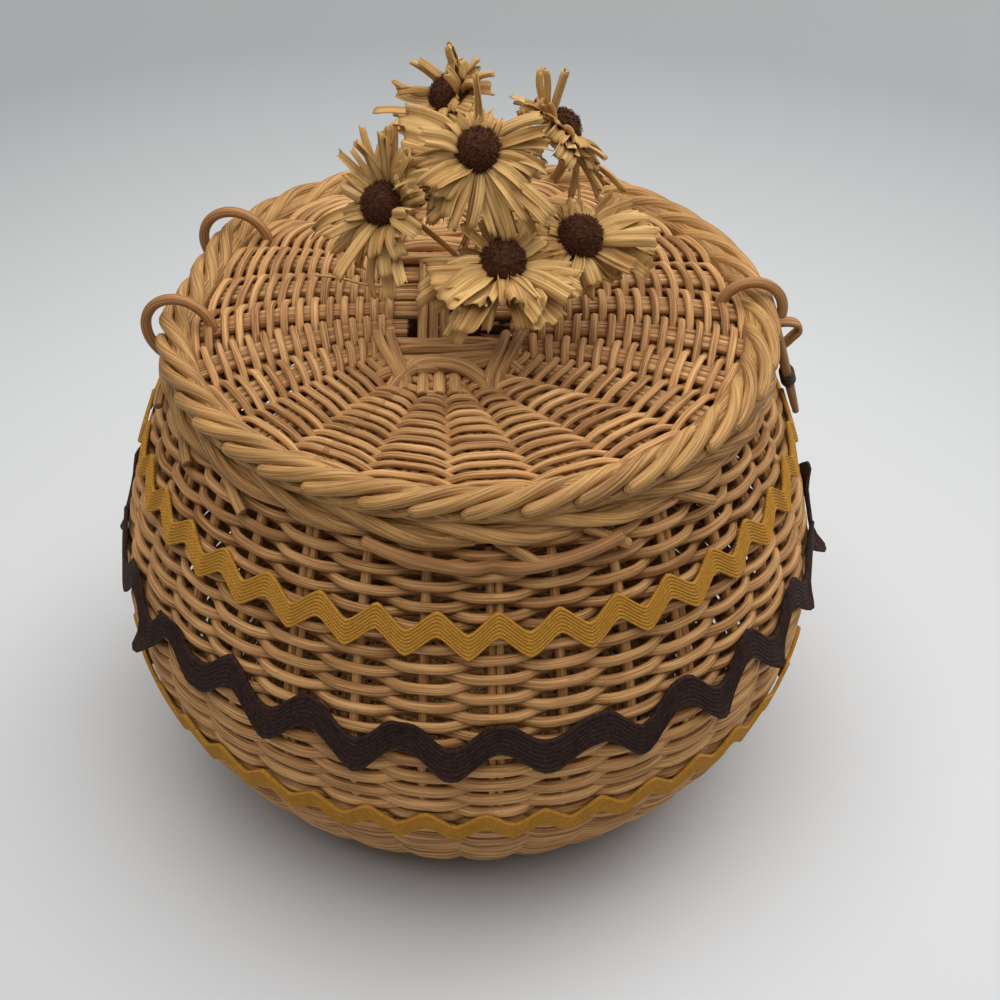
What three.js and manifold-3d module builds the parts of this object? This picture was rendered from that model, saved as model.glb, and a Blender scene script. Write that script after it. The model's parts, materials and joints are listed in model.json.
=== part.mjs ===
// A round, pot-bellied wicker sewing basket with a ring-hinged lid, a reed clasp,
// three bands of rickrack trim and a bunch of straw flowers on the lid.
// Millimetres, +Z up. The origin is the middle of the underside.
// The hinge lies on the -X side, and the hinge axis runs along Y.

import * as THREE from 'three';
import { mergeVertices } from 'three/addons/utils/BufferGeometryUtils.js';
import Module from 'manifold-3d';

const wasm = await Module();
wasm.setup();

// Clearances
const SEAT = 0.3;
const FACET_ROOM = 0.2;
const RUNNING_GAP = 0.5;
const LID_GAP = 0.4;

// Wall
const BASE_RADIUS = 62;
const BELLY_RADIUS = 102;
const BELLY_HEIGHT = 70;
const FLARE_HEIGHT = 30;
const RIM_RADIUS = 84.4;
const SHOULDER_HEIGHT = 91;
const WALL_HEIGHT = 135.5;
const WALL = 5;
const BASE_THICKNESS = 5;

// Weave: over and under at every upright stake, one step for each row
const STAKES = 32;
const FIRST_STAKE = 8;
const WEAVE_RELIEF = 1.1;
const WEAVE_DIP = 1.4;
const CLOSE_WEAVE_TOP = 62;
const CLOSE_ROWS = 26;
const OPEN_ROWS = 26;

// Borders and the reed tucked under the rim
const RIM_ROLL = 8.4;
const LID_ROLL = 9;
const LID_OVERHANG = 0.6;
const TUCK_REED = 3;
const TUCK_DROP = 3;
const TUCK_START = 265;
const TUCK_SWEEP = 50;

// Lid panel
const PANEL = 5;
const LID_DOME = 5;
const LID_ROWS = 26;
const PLAIN_ROWS = 3;
const LID_RELIEF = 0.9;
const LID_DIP = 1.2;
const HUB_RADIUS = 35;

// Starting cross on the lid, and the fans of spokes that leave its front, right, rear and left
const HUB_TURN = 15;
const HUB_WIDTH = 33;
const HUB_LENGTH = 70;
const END_FAN = 13;
const SIDE_FAN = 54;
const SPOKE_FANS = [
  { middle: 275, spread: 69, count: 5 },
  { middle: 364, spread: 78, count: 7 },
  { middle: 452.5, spread: 67, count: 5 },
  { middle: 543, spread: 82, count: 7 },
];
const HUB_REED = 2.8;
const HUB_LAP = 0.3;
const LONG_STICKS = 3;
const LONG_STICK_LENGTH = 36;
const CROSS_STICKS = 4;
const CROSS_LENGTH = 32;
const CROSS_FROM_MIDDLE = 25;

// Hinge rings
const HINGE_SPACING = 48;
const HINGE_FLAT = 45;
const RING_RADIUS = 10;
const RING_REED = 3.2;

// Clasp
const CLASP_AZIMUTH = 20;
const EYE_REED = 3.2;
const HASP_REED = 2.2;
const HASP_LENGTH = 35;
const HASP_PERCH = 25;
const BINDING_DROP = 27;
const BINDING_HEIGHT = 3;
const BINDING_WALL = 0.8;
const CATCH_WIDTH = 4;
const CATCH_CANE = 1.2;
const CATCH_REACH = 11;
const CATCH_FOOT = 14;

// Angles round the lid roll that the clasp eye passes: from, to, tuck and foot
const EYE_FROM = 190;
const EYE_TO = -10;
const EYE_TUCK = -32;
const EYE_FOOT = -42;

// Trims: height of the middle line, swing to each side, band height, wave length.
// The upper gold trim keeps its distance to the reed tucked under the rim.
const TRIM_THICKNESS = 1.2;
const GOLD_BELOW_TUCK = 10.7;
const GOLD_SWING = 3;
const GOLD_BAND = 7;
const GOLD_WAVE = 16;
const BROWN_HEIGHT = 81;
const BROWN_SWING = 4.9;
const BROWN_BAND = 10;
const BROWN_WAVE = 27;
const GOLD_LOWER_HEIGHT = 50;

// Flowers
const PETALS = 9;
const PETAL_LENGTH = 20;
const PETAL_WIDTH = 7;
const PETAL_ROOT_WIDTH = 2.5;
const PETAL_THICKNESS = 0.9;
const PETAL_DROOP = 20;
const CALYX_RADIUS = 5;
const CALYX_THICKNESS = 3;
const POM_RADIUS = 6.5;
const POM_HEIGHT = 7;
const STEM = 1.6;
const STEM_RING = 2.6;
const BINDING_RADIUS = 4.5;
const BINDING_RISE = 10;

const BUNCH_RADIUS = 33;
const BUNCH_RISE = 56;

// Each flower head, in order round the binding: the turn to it from the middle of the lid,
// how far out and up it stands in the bunch, and the way it faces
const FIRST_FOOT = 71;
const FLOWERS = [
  { name: 'right_back', turn: 29, out: 0.73, up: 0.89, azimuth: 35, elevation: 45 },
  { name: 'back', turn: 119, out: 0.44, up: 1, azimuth: 215, elevation: 45 },
  { name: 'left', turn: 228, out: 0.78, up: 0.71, azimuth: 240, elevation: 40 },
  { name: 'front', turn: 297, out: 0.37, up: 0.98, azimuth: 283, elevation: 50 },
  { name: 'low_front', turn: 304, out: 0.84, up: 0.52, azimuth: 295, elevation: 55 },
  { name: 'low_right', turn: 350, out: 0.99, up: 0.52, azimuth: 315, elevation: 55 },
];

// Facets
const ROLL_SIDES = 8;
const ROLL_STEPS = 48;
const STICK_SIDES = 8;
const REED_SIDES = 6;
const RING_STEPS = 20;
const TUCK_STEPS = 12;
const EYE_STEPS = 14;
const HASP_STEPS = 24;
const BAND_ARC_STEPS = 4;
const STEM_SIDES = 5;
const STEM_STEPS = 5;
const CALYX_SIDES = 10;
const POM_SIDES = 8;
const POM_STEPS = 4;
const BINDING_SIDES = 12;
const SLOPE_STEPS = 200;
const WALL_INNER_STEPS = 3;
const PANEL_UNDER_STEPS = 3;
const POINTED_WAVE_STEPS = 2;
const ROUND_WAVE_STEPS = 6;

// Colours and finishes
const REED = { color: 0xbe915f, roughness: 0.6 };
const PALE_REED = { color: 0xc8a069, roughness: 0.55 };
const BROWN_REED = { color: 0x966937, roughness: 0.5 };
const DARK_BAND = { color: 0x2a1c14, roughness: 0.7 };
const GOLD_TRIM = { color: 0xb98732, roughness: 0.8 };
const BROWN_TRIM = { color: 0x3c2826, roughness: 0.8 };
const STRAW = { color: 0xcdaa69, roughness: 0.7 };
const FUZZ = { color: 0x3c261c, roughness: 0.95 };
const GREEN_TAPE = { color: 0x2f3b22, roughness: 0.8 };

// Heights that follow from the stack of wall, rim roll and lid roll
const RIM_ROLL_Z = WALL_HEIGHT + SEAT + RIM_ROLL / 2;
const RIM_ROLL_PATH = RIM_RADIUS - WALL / 2;
const LID_ROLL_Z = RIM_ROLL_Z + RIM_ROLL / 2 + LID_GAP + LID_ROLL / 2;
const LID_ROLL_PATH = RIM_RADIUS + LID_OVERHANG - LID_ROLL / 2;
const PANEL_RADIUS = LID_ROLL_PATH - LID_ROLL / 2 - SEAT - FACET_ROOM;
const PANEL_EDGE_TOP = LID_ROLL_Z + PANEL / 2;
const LID_TOP = PANEL_EDGE_TOP + LID_DOME;
const HINGE_REACH = Math.sqrt(LID_ROLL_PATH ** 2 - (HINGE_FLAT / 2) ** 2);
const TUCK_Z = WALL_HEIGHT - TUCK_DROP;
const GOLD_UPPER_TOP = TUCK_Z - TUCK_REED / 2 - GOLD_BELOW_TUCK;
const GOLD_UPPER_HEIGHT = GOLD_UPPER_TOP - GOLD_SWING - GOLD_BAND / 2;

const rad = THREE.MathUtils.degToRad;

// A closed three.js geometry as a solid for cutting and joining
function solid(geometry) {
  const bare = geometry.clone();
  bare.deleteAttribute('normal');
  bare.deleteAttribute('uv');
  const merged = mergeVertices(bare, 1e-4);
  const body = new wasm.Manifold(new wasm.Mesh({
    numProp: 3,
    vertProperties: new Float32Array(merged.attributes.position.array),
    triVerts: new Uint32Array(merged.index.array),
  }));
  return body;
}

// A solid back as a three.js geometry
function geometryOf(body) {
  const mesh = body.getMesh();
  const geometry = new THREE.BufferGeometry();
  geometry.setAttribute('position', new THREE.BufferAttribute(mesh.vertProperties, 3));
  geometry.setIndex(new THREE.BufferAttribute(mesh.triVerts, 1));
  geometry.computeVertexNormals();
  return geometry;
}

// Moves every vertex of a geometry by a function of its place
function reshape(geometry, move) {
  const position = geometry.attributes.position;
  const point = new THREE.Vector3();
  for (let k = 0; k < position.count; k += 1) {
    point.fromBufferAttribute(position, k);
    move(point);
    position.setXYZ(k, point.x, point.y, point.z);
  }
  return geometry;
}

// A closed profile of [radius, height] pairs turned about Z
function turned(profile, segments) {
  const points = profile.map(([r, z]) => new THREE.Vector2(r, z));
  const geometry = new THREE.LatheGeometry(points, segments);
  return geometry.rotateX(Math.PI / 2).rotateZ(Math.PI / 2);
}

// A ring whose section is set by section(around, about), giving radius and height
function ring(sides, steps, section) {
  const middle = 10;
  const tube = 1;
  const geometry = new THREE.TorusGeometry(middle, tube, sides, steps);
  return reshape(geometry, (p) => {
    const around = Math.atan2(p.y, p.x);
    const about = Math.atan2(p.z, Math.hypot(p.x, p.y) - middle);
    const [r, z] = section(around, about);
    p.set(r * Math.cos(around), r * Math.sin(around), z);
  });
}

// A round reed along a curve
function reed(curve, diameter, sides, steps) {
  const outline = [];
  for (let k = 0; k < sides; k += 1) {
    const turn = (k / sides) * 2 * Math.PI;
    outline.push(new THREE.Vector2(Math.cos(turn), Math.sin(turn)).multiplyScalar(diameter / 2));
  }
  const options = { steps, bevelEnabled: false, extrudePath: curve };
  return new THREE.ExtrudeGeometry(new THREE.Shape(outline), options);
}

function mesh(name, geometry, finish) {
  const material = new THREE.MeshStandardMaterial({ metalness: 0, ...finish });
  const piece = new THREE.Mesh(geometry, material);
  piece.name = name;
  return piece;
}

// Outside of the wall at a height: a flaring lower curve and a closing shoulder
function wallRadius(z) {
  if (z <= BELLY_HEIGHT) {
    const bend = BELLY_HEIGHT - 2 * FLARE_HEIGHT;
    const t = z / (FLARE_HEIGHT + Math.sqrt(FLARE_HEIGHT ** 2 + bend * z));
    return BELLY_RADIUS - (BELLY_RADIUS - BASE_RADIUS) * (1 - t) ** 2;
  }
  const rise = z - BELLY_HEIGHT;
  const knee = SHOULDER_HEIGHT - BELLY_HEIGHT;
  const bend = WALL_HEIGHT - BELLY_HEIGHT - 2 * knee;
  const t = rise / (knee + Math.sqrt(knee ** 2 + bend * rise));
  return BELLY_RADIUS - (BELLY_RADIUS - RIM_RADIUS) * t ** 2;
}

// How near a vertex lies to the middle line of a woven row to belong to it
const ROW_TOLERANCE = 0.01;

// Outermost reach of the weave at a height
const weaveRadius = (z) => wallRadius(z) + WEAVE_RELIEF;

// Heights of the rows, evenly spaced along the slope of the wall
function rowHeights(bottom, top, rows) {
  const step = (top - bottom) / SLOPE_STEPS;
  const lengths = [0];
  for (let k = 1; k <= SLOPE_STEPS; k += 1) {
    const z = bottom + k * step;
    lengths.push(lengths[k - 1] + Math.hypot(wallRadius(z) - wallRadius(z - step), step));
  }
  const heights = [];
  for (let row = 0; row < rows; row += 1) {
    const wanted = ((row + 0.5) / rows) * lengths[SLOPE_STEPS];
    const above = lengths.findIndex((length) => length >= wanted);
    const share = (wanted - lengths[above - 1]) / (lengths[above] - lengths[above - 1]);
    heights.push(bottom + (above - 1 + share) * step);
  }
  return heights;
}

// A stretch of woven wall: each row passes outside one stake and inside the next
function wovenWall(bottom, top, rows) {
  const heights = rowHeights(bottom, top, rows);
  const profile = [[wallRadius(bottom), bottom]];
  profile.push(...heights.map((z) => [wallRadius(z), z]), [wallRadius(top), top]);
  const inner = [];
  for (let step = 0; step <= WALL_INNER_STEPS; step += 1) {
    inner.push(bottom + ((top - bottom) * step) / WALL_INNER_STEPS);
  }
  if (bottom < BASE_THICKNESS && BASE_THICKNESS < top) {
    inner.push(BASE_THICKNESS);
  }
  inner.sort((a, b) => b - a);
  profile.push(...inner.map((z) => [wallRadius(z) - WALL, z]), profile[0]);
  const woven = reshape(turned(profile, STAKES), (p) => {
    const r = Math.hypot(p.x, p.y);
    const row = heights.findIndex((z) => Math.abs(z - p.z) < ROW_TOLERANCE);
    if (row < 0 || r < wallRadius(p.z) - WALL / 2) {
      return;
    }
    const stake = Math.round((Math.atan2(p.y, p.x) / (2 * Math.PI)) * STAKES);
    const swelled = r + ((stake + row) % 2 === 0 ? WEAVE_RELIEF : -WEAVE_DIP);
    p.x *= swelled / r;
    p.y *= swelled / r;
  });
  return woven.rotateZ(rad(FIRST_STAKE));
}

function baseMat() {
  const edge = wallRadius(0) - WALL - SEAT;
  const upperEdge = wallRadius(BASE_THICKNESS) - WALL - SEAT;
  const profile = [[0, 0], [edge, 0], [upperEdge, BASE_THICKNESS], [0, BASE_THICKNESS]];
  return turned(profile, STAKES);
}

// Middle line of the lid roll: a circle with a straight stretch at the hinge
function lidRollPath(around) {
  const across = -Math.cos(around);
  return across > 0 ? Math.min(LID_ROLL_PATH, HINGE_REACH / across) : LID_ROLL_PATH;
}

function rollSection(path, diameter, z) {
  return (around, about) => [
    path(around) + (diameter / 2) * Math.cos(about),
    z + (diameter / 2) * Math.sin(about),
  ];
}

// A hinge ring, grown by a margin where it serves as a cutter
function hingeRing(side, margin) {
  const geometry = new THREE.TorusGeometry(
    RING_RADIUS,
    RING_REED / 2 + margin,
    REED_SIDES,
    RING_STEPS,
  );
  geometry.rotateX(Math.PI / 2);
  return geometry.translate(-HINGE_REACH, (side * HINGE_SPACING) / 2, LID_ROLL_Z);
}

const HINGE_SIDES = { front: -1, rear: 1 };

function cutByRings(geometry, margin) {
  let body = solid(geometry);
  for (const side of Object.values(HINGE_SIDES)) {
    body = body.subtract(solid(hingeRing(side, margin)));
  }
  return body;
}

function rimBorder() {
  const section = rollSection(() => RIM_ROLL_PATH, RIM_ROLL, RIM_ROLL_Z);
  return geometryOf(cutByRings(ring(ROLL_SIDES, ROLL_STEPS, section), SEAT));
}

function lidBorder() {
  const section = rollSection(lidRollPath, LID_ROLL, LID_ROLL_Z);
  return ring(ROLL_SIDES, ROLL_STEPS, section);
}

// The reed that lies under the rim border over part of the front
function tuckReed() {
  const r = weaveRadius(TUCK_Z) + SEAT + TUCK_REED / 2;
  const points = [];
  for (let k = 0; k <= TUCK_STEPS; k += 1) {
    const turn = rad(TUCK_START + (TUCK_SWEEP * k) / TUCK_STEPS);
    points.push(new THREE.Vector3(r * Math.cos(turn), r * Math.sin(turn), TUCK_Z));
  }
  return reed(new THREE.CatmullRomCurve3(points), TUCK_REED, REED_SIDES, TUCK_STEPS);
}

// Lid panel: a flat middle for the cross, woven rows beyond it, and a hole for the stems
function panelTop(r) {
  const out = Math.max(0, r - HUB_RADIUS) / (PANEL_RADIUS - HUB_RADIUS);
  return LID_TOP - LID_DOME * out ** 2;
}

const STEM_HOLE = BINDING_RADIUS + SEAT;

// Spokes in plan, each from its root on the starting cross to its tip at the border
function lidSpokes() {
  const spokes = [];
  SPOKE_FANS.forEach(({ middle, spread, count }, side) => {
    const atEnd = side % 2 === 0;
    const out = rad(HUB_TURN + (side - 1) * 90);
    for (let k = 0; k < count; k += 1) {
      const share = k / (count - 1) - 0.5;
      const root = new THREE.Vector2(
        (atEnd ? HUB_LENGTH : HUB_WIDTH) / 2,
        (atEnd ? END_FAN : SIDE_FAN) * share,
      );
      root.rotateAround(new THREE.Vector2(), out);
      root.x -= STEM_HOLE * Math.cos(rad(HUB_TURN));
      root.y -= STEM_HOLE * Math.sin(rad(HUB_TURN));
      const turn = rad(HUB_TURN + middle + spread * share);
      const tip = new THREE.Vector2(Math.cos(turn), Math.sin(turn)).multiplyScalar(PANEL_RADIUS);
      spokes.push({ root, tip });
    }
  });
  return spokes;
}

// The woven panel: each row passes over one spoke and under the next, from the cross to the edge
function lidPanel() {
  const spokes = lidSpokes();
  const woven = PANEL_RADIUS - HUB_RADIUS;
  const profile = [[STEM_HOLE, LID_TOP - PANEL]];
  for (let step = 1; step <= PANEL_UNDER_STEPS; step += 1) {
    const r = STEM_HOLE + ((PANEL_RADIUS - STEM_HOLE) * step) / PANEL_UNDER_STEPS;
    profile.push([r, panelTop(r) - PANEL]);
  }
  profile.push([PANEL_RADIUS, panelTop(PANEL_RADIUS)]);
  for (let row = LID_ROWS - 1; row >= 0; row -= 1) {
    const r = HUB_RADIUS + ((row + 0.5) / LID_ROWS) * woven;
    profile.push([r, panelTop(r)]);
  }
  profile.push([HUB_RADIUS, LID_TOP], [STEM_HOLE, LID_TOP], profile[0]);
  const panel = reshape(turned(profile, spokes.length), (p) => {
    const r = Math.hypot(p.x, p.y);
    const onTop = p.z > panelTop(r) - PANEL / 2;
    const index = Math.round((Math.atan2(p.y, p.x) / (2 * Math.PI)) * spokes.length);
    const { root, tip } = spokes[(index + spokes.length) % spokes.length];
    const place = tip.clone().multiplyScalar(r / PANEL_RADIUS);
    const share = (r - HUB_RADIUS) / woven;
    if (onTop && share > -ROW_TOLERANCE) {
      place.lerpVectors(root, tip, share);
      p.z = panelTop(place.length());
    }
    const row = Math.round(share * LID_ROWS - 0.5);
    if (onTop && row >= PLAIN_ROWS && row < LID_ROWS) {
      p.z += (index + row) % 2 === 0 ? LID_RELIEF : -LID_DIP;
    }
    const drawn = lidRollPath(place.angle()) / LID_ROLL_PATH - 1;
    place.multiplyScalar(1 + drawn * (place.length() / PANEL_RADIUS) ** 2);
    p.x = place.x;
    p.y = place.y;
  });
  const bored = cutByRings(panel, RUNNING_GAP);
  return geometryOf(bored.subtract(solid(claspEye(RUNNING_GAP))));
}

// A bundle of straight reeds side by side, lapped a little into each other
function bundle(count, length) {
  const pitch = HUB_REED - HUB_LAP;
  let body = null;
  for (let k = 0; k < count; k += 1) {
    const stick = new THREE.CylinderGeometry(HUB_REED / 2, HUB_REED / 2, length, STICK_SIDES);
    stick.translate((k - (count - 1) / 2) * pitch, 0, 0);
    body = body ? body.add(solid(stick)) : solid(stick);
  }
  return geometryOf(body);
}

const bundleWidth = (count) => HUB_REED + (count - 1) * (HUB_REED - HUB_LAP);

function crossGroup() {
  const group = new THREE.Group();
  group.rotation.z = rad(HUB_TURN);
  const z = LID_TOP + SEAT + HUB_REED / 2;
  const long = mesh('hub_long_sticks', bundle(LONG_STICKS, LONG_STICK_LENGTH), REED);
  long.position.set(-STEM_HOLE - bundleWidth(LONG_STICKS) / 2, 0, z);
  group.add(long);
  for (const [side, sign] of [['front', -1], ['rear', 1]]) {
    const cross = mesh(`hub_cross_${side}`, bundle(CROSS_STICKS, CROSS_LENGTH), REED);
    cross.rotation.z = Math.PI / 2;
    cross.position.set(-STEM_HOLE, sign * CROSS_FROM_MIDDLE, z);
    group.add(cross);
  }
  return group;
}

// Clasp, drawn with its own radius along X and turned to its place on the rim
const EYE_RADIUS = LID_ROLL / 2 + RUNNING_GAP + HASP_REED + RUNNING_GAP + EYE_REED / 2;
const PERCH_RADIUS = LID_ROLL / 2 + RUNNING_GAP + HASP_REED / 2;
const HASP_PIVOT = new THREE.Vector3(
  LID_ROLL_PATH + PERCH_RADIUS * Math.cos(rad(HASP_PERCH)),
  0,
  LID_ROLL_Z + PERCH_RADIUS * Math.sin(rad(HASP_PERCH)),
);

function aroundLidRoll(radius, degrees) {
  const turn = rad(degrees);
  const r = LID_ROLL_PATH + radius * Math.cos(turn);
  return new THREE.Vector3(r, 0, LID_ROLL_Z + radius * Math.sin(turn));
}

// The eye springs from the panel, passes over the lid roll and tucks in under its outside
function claspEye(margin) {
  const seat = LID_ROLL / 2 + SEAT;
  const points = [];
  const arcPoints = 8;
  for (let k = 0; k <= arcPoints; k += 1) {
    points.push(aroundLidRoll(EYE_RADIUS, EYE_FROM + ((EYE_TO - EYE_FROM) * k) / arcPoints));
  }
  points.push(aroundLidRoll(EYE_RADIUS - EYE_REED / 2, EYE_TUCK));
  points.push(aroundLidRoll(seat, EYE_FOOT));
  const curve = new THREE.CatmullRomCurve3(points, false, 'centripetal');
  const geometry = reed(curve, EYE_REED + 2 * margin, STICK_SIDES, EYE_STEPS);
  return geometry.rotateZ(rad(CLASP_AZIMUTH));
}

const LEG_SPREAD = EYE_REED / 2 + RUNNING_GAP + HASP_REED / 2;
const LEG_CLOSE = HASP_REED / 2 + SEAT / 2;

// The hasp leans out just enough to hang clear of the rim roll and the wall
function haspLean() {
  const needs = [
    [HASP_PIVOT.z - RIM_ROLL_Z, RIM_ROLL_PATH + RIM_ROLL / 2, HASP_REED / 2],
    [BINDING_DROP, null, HASP_REED / 2 + SEAT + BINDING_WALL],
    [HASP_LENGTH, null, HASP_REED / 2],
  ];
  const tilts = needs.map(([drop, face, half]) => {
    const wall = face ?? weaveRadius(HASP_PIVOT.z - drop);
    return Math.atan2(wall + RUNNING_GAP + half - HASP_PIVOT.x, drop);
  });
  return Math.max(...tilts);
}

function claspHasp() {
  const corner = HASP_REED;
  const half = [
    new THREE.Vector3(0, LEG_SPREAD - corner / 2, 0),
    new THREE.Vector3(0, LEG_SPREAD, -corner),
    new THREE.Vector3(0, LEG_SPREAD, -BINDING_DROP / 3),
    new THREE.Vector3(0, LEG_CLOSE, -BINDING_DROP + BINDING_HEIGHT),
    new THREE.Vector3(0, LEG_CLOSE, -HASP_LENGTH),
  ];
  const mirrored = half.map((p) => new THREE.Vector3(0, -p.y, p.z)).reverse();
  const curve = new THREE.CatmullRomCurve3([...mirrored, ...half], false, 'centripetal');
  return reed(curve, HASP_REED, REED_SIDES, HASP_STEPS);
}

// A band wound round both legs
function haspBinding() {
  const outline = (grow) => {
    const end = HASP_REED / 2 + grow;
    const shape = new THREE.Shape();
    shape.absarc(LEG_CLOSE, 0, end, -Math.PI / 2, Math.PI / 2, false);
    shape.absarc(-LEG_CLOSE, 0, end, Math.PI / 2, (3 * Math.PI) / 2, false);
    return shape;
  };
  const band = outline(SEAT + BINDING_WALL);
  band.holes.push(outline(SEAT));
  const options = { depth: BINDING_HEIGHT, bevelEnabled: false, curveSegments: BAND_ARC_STEPS };
  const geometry = new THREE.ExtrudeGeometry(band, options);
  return geometry.rotateZ(Math.PI / 2).translate(0, 0, -BINDING_DROP - BINDING_HEIGHT / 2);
}

function haspGroup() {
  const group = new THREE.Group();
  group.rotation.z = rad(CLASP_AZIMUTH);
  const hang = new THREE.Group();
  hang.position.copy(HASP_PIVOT);
  hang.rotation.y = -haspLean();
  hang.add(mesh('clasp_hasp', claspHasp(), BROWN_REED));
  hang.add(mesh('hasp_binding', haspBinding(), DARK_BAND));
  group.add(hang);
  return group;
}

// A strip of cane bent into a loop: straight out from the rim roll and back down to the wall
function catchLoop() {
  const top = RIM_ROLL_Z + CATCH_CANE / 2;
  const under = top - CATCH_CANE;
  const root = RIM_ROLL_PATH + RIM_ROLL / 2 + SEAT;
  const tip = root + CATCH_REACH;
  const footZ = RIM_ROLL_Z - CATCH_FOOT;
  const foot = weaveRadius(footZ) + SEAT;
  const shape = new THREE.Shape();
  shape.moveTo(root, top);
  shape.lineTo(tip - CATCH_CANE, top);
  shape.quadraticCurveTo(tip + CATCH_CANE, top, tip - CATCH_CANE / 2, under - CATCH_CANE);
  shape.lineTo(foot + CATCH_CANE, footZ);
  shape.lineTo(foot, footZ);
  shape.lineTo(tip - 2 * CATCH_CANE, under);
  shape.lineTo(root, under);
  const options = { depth: CATCH_WIDTH, bevelEnabled: false, curveSegments: BAND_ARC_STEPS };
  const strip = new THREE.ExtrudeGeometry(shape, options).rotateX(Math.PI / 2);
  const beside = LEG_SPREAD + HASP_REED / 2 + RUNNING_GAP + CATCH_WIDTH;
  return strip.translate(0, beside, 0).rotateZ(rad(CLASP_AZIMUTH));
}

// A wavy band round the wall, with a trough under the clasp
function rickrack(height, swing, band, wave, stepsPerWave, curve) {
  const waves = Math.round((2 * Math.PI * wallRadius(height)) / wave);
  const steps = waves * stepsPerWave;
  return ring(4, steps, (around, about) => {
    const corner = Math.round(about / (Math.PI / 2) + 4) % 4;
    const upper = corner === 1 || corner === 2;
    const outer = corner === 0 || corner === 1;
    const z = height - swing * curve(waves * around) + (upper ? band : -band) / 2;
    return [weaveRadius(z) + SEAT + (outer ? TRIM_THICKNESS : 0), z];
  }).rotateZ(rad(CLASP_AZIMUTH));
}

const pointedWave = (phase) => (2 / Math.PI) * Math.asin(Math.cos(phase));
const roundWave = (phase) => Math.cos(phase);

// Flowers
const faceOf = ({ azimuth, elevation }) => new THREE.Vector3(
  Math.cos(rad(elevation)) * Math.cos(rad(azimuth)),
  Math.cos(rad(elevation)) * Math.sin(rad(azimuth)),
  Math.sin(rad(elevation)),
);
const headOf = ({ turn, out, up }) => new THREE.Vector3(
  BUNCH_RADIUS * out * Math.cos(rad(turn)),
  BUNCH_RADIUS * out * Math.sin(rad(turn)),
  LID_TOP + BUNCH_RISE * up,
);
const placeHead = (flower) => new THREE.Matrix4().compose(
  headOf(flower),
  new THREE.Quaternion().setFromUnitVectors(new THREE.Vector3(0, 0, 1), faceOf(flower)),
  new THREE.Vector3(1, 1, 1),
);

// The stem leaves its own place on the binding and meets the back of the calyx
function flowerStem(flower, margin) {
  const back = headOf(flower).addScaledVector(faceOf(flower), -CALYX_THICKNESS - SEAT);
  const behind = back.clone().addScaledVector(faceOf(flower), -PETAL_LENGTH / 2);
  const turn = rad(FIRST_FOOT + (FLOWERS.indexOf(flower) * 360) / FLOWERS.length);
  const foot = new THREE.Vector3(
    STEM_RING * Math.cos(turn),
    STEM_RING * Math.sin(turn),
    LID_TOP + BINDING_RISE + SEAT,
  );
  const rise = foot.clone().setZ(foot.z + STEM);
  const curve = new THREE.CatmullRomCurve3([foot, rise, behind, back], false, 'centripetal');
  return reed(curve, STEM + 2 * margin, STEM_SIDES, STEM_STEPS);
}

// One petal along +X, narrow at its root and drooping away from the face
function petal() {
  const flat = new THREE.BoxGeometry(PETAL_LENGTH, PETAL_WIDTH, PETAL_THICKNESS, 2, 1, 1);
  flat.translate(PETAL_LENGTH / 2, 0, 0);
  return reshape(flat, (p) => {
    const along = p.x / PETAL_LENGTH;
    const width = Math.min(PETAL_WIDTH, PETAL_ROOT_WIDTH + 2 * along * PETAL_WIDTH);
    p.y *= width / PETAL_WIDTH;
    p.z -= Math.tan(rad(PETAL_DROOP)) * p.x * along;
  });
}

// Petals round a calyx, held inside the flower's own share of the bunch
function flowerPetals(flower) {
  const calyx = new THREE.CylinderGeometry(
    CALYX_RADIUS,
    CALYX_RADIUS / 2,
    CALYX_THICKNESS,
    CALYX_SIDES,
  );
  calyx.rotateX(Math.PI / 2).translate(0, 0, -CALYX_THICKNESS / 2);
  let body = solid(calyx);
  for (let k = 0; k < PETALS; k += 1) {
    const blade = petal().translate(CALYX_RADIUS / 2, 0, -CALYX_THICKNESS / 2);
    body = body.add(solid(blade.rotateZ((k / PETALS) * 2 * Math.PI)));
  }
  const placed = geometryOf(body).applyMatrix4(placeHead(flower));
  let kept = solid(placed);
  const here = headOf(flower);
  for (const other of FLOWERS) {
    if (other === flower) {
      continue;
    }
    const between = headOf(other).sub(here);
    const halfway = between.length() / 2 - SEAT;
    const inward = between.normalize().negate();
    const offset = inward.dot(here) - halfway;
    kept = kept.trimByPlane(inward.toArray(), offset);
    kept = kept.subtract(solid(flowerStem(other, SEAT)));
  }
  const clearOfLid = LID_TOP + HUB_REED + 2 * SEAT + LID_RELIEF;
  kept = kept.trimByPlane([0, 0, 1], clearOfLid);
  const whole = kept.decompose().sort((a, b) => b.volume() - a.volume());
  return geometryOf(whole[0]);
}

// A fuzzy centre: a low dome seated on the calyx
function flowerCentre(flower) {
  const profile = [[0, 0]];
  for (let step = 0; step < POM_STEPS; step += 1) {
    const rise = ((step / POM_STEPS) * Math.PI) / 2;
    profile.push([POM_RADIUS * Math.cos(rise), POM_HEIGHT * Math.sin(rise)]);
  }
  profile.push([0, POM_HEIGHT]);
  return turned(profile, POM_SIDES).translate(0, 0, SEAT).applyMatrix4(placeHead(flower));
}

function stemBinding() {
  const height = PANEL + BINDING_RISE;
  const binding = new THREE.CylinderGeometry(
    BINDING_RADIUS,
    BINDING_RADIUS,
    height,
    BINDING_SIDES,
  );
  return binding.rotateX(Math.PI / 2).translate(0, 0, LID_TOP - PANEL + height / 2);
}

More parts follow.
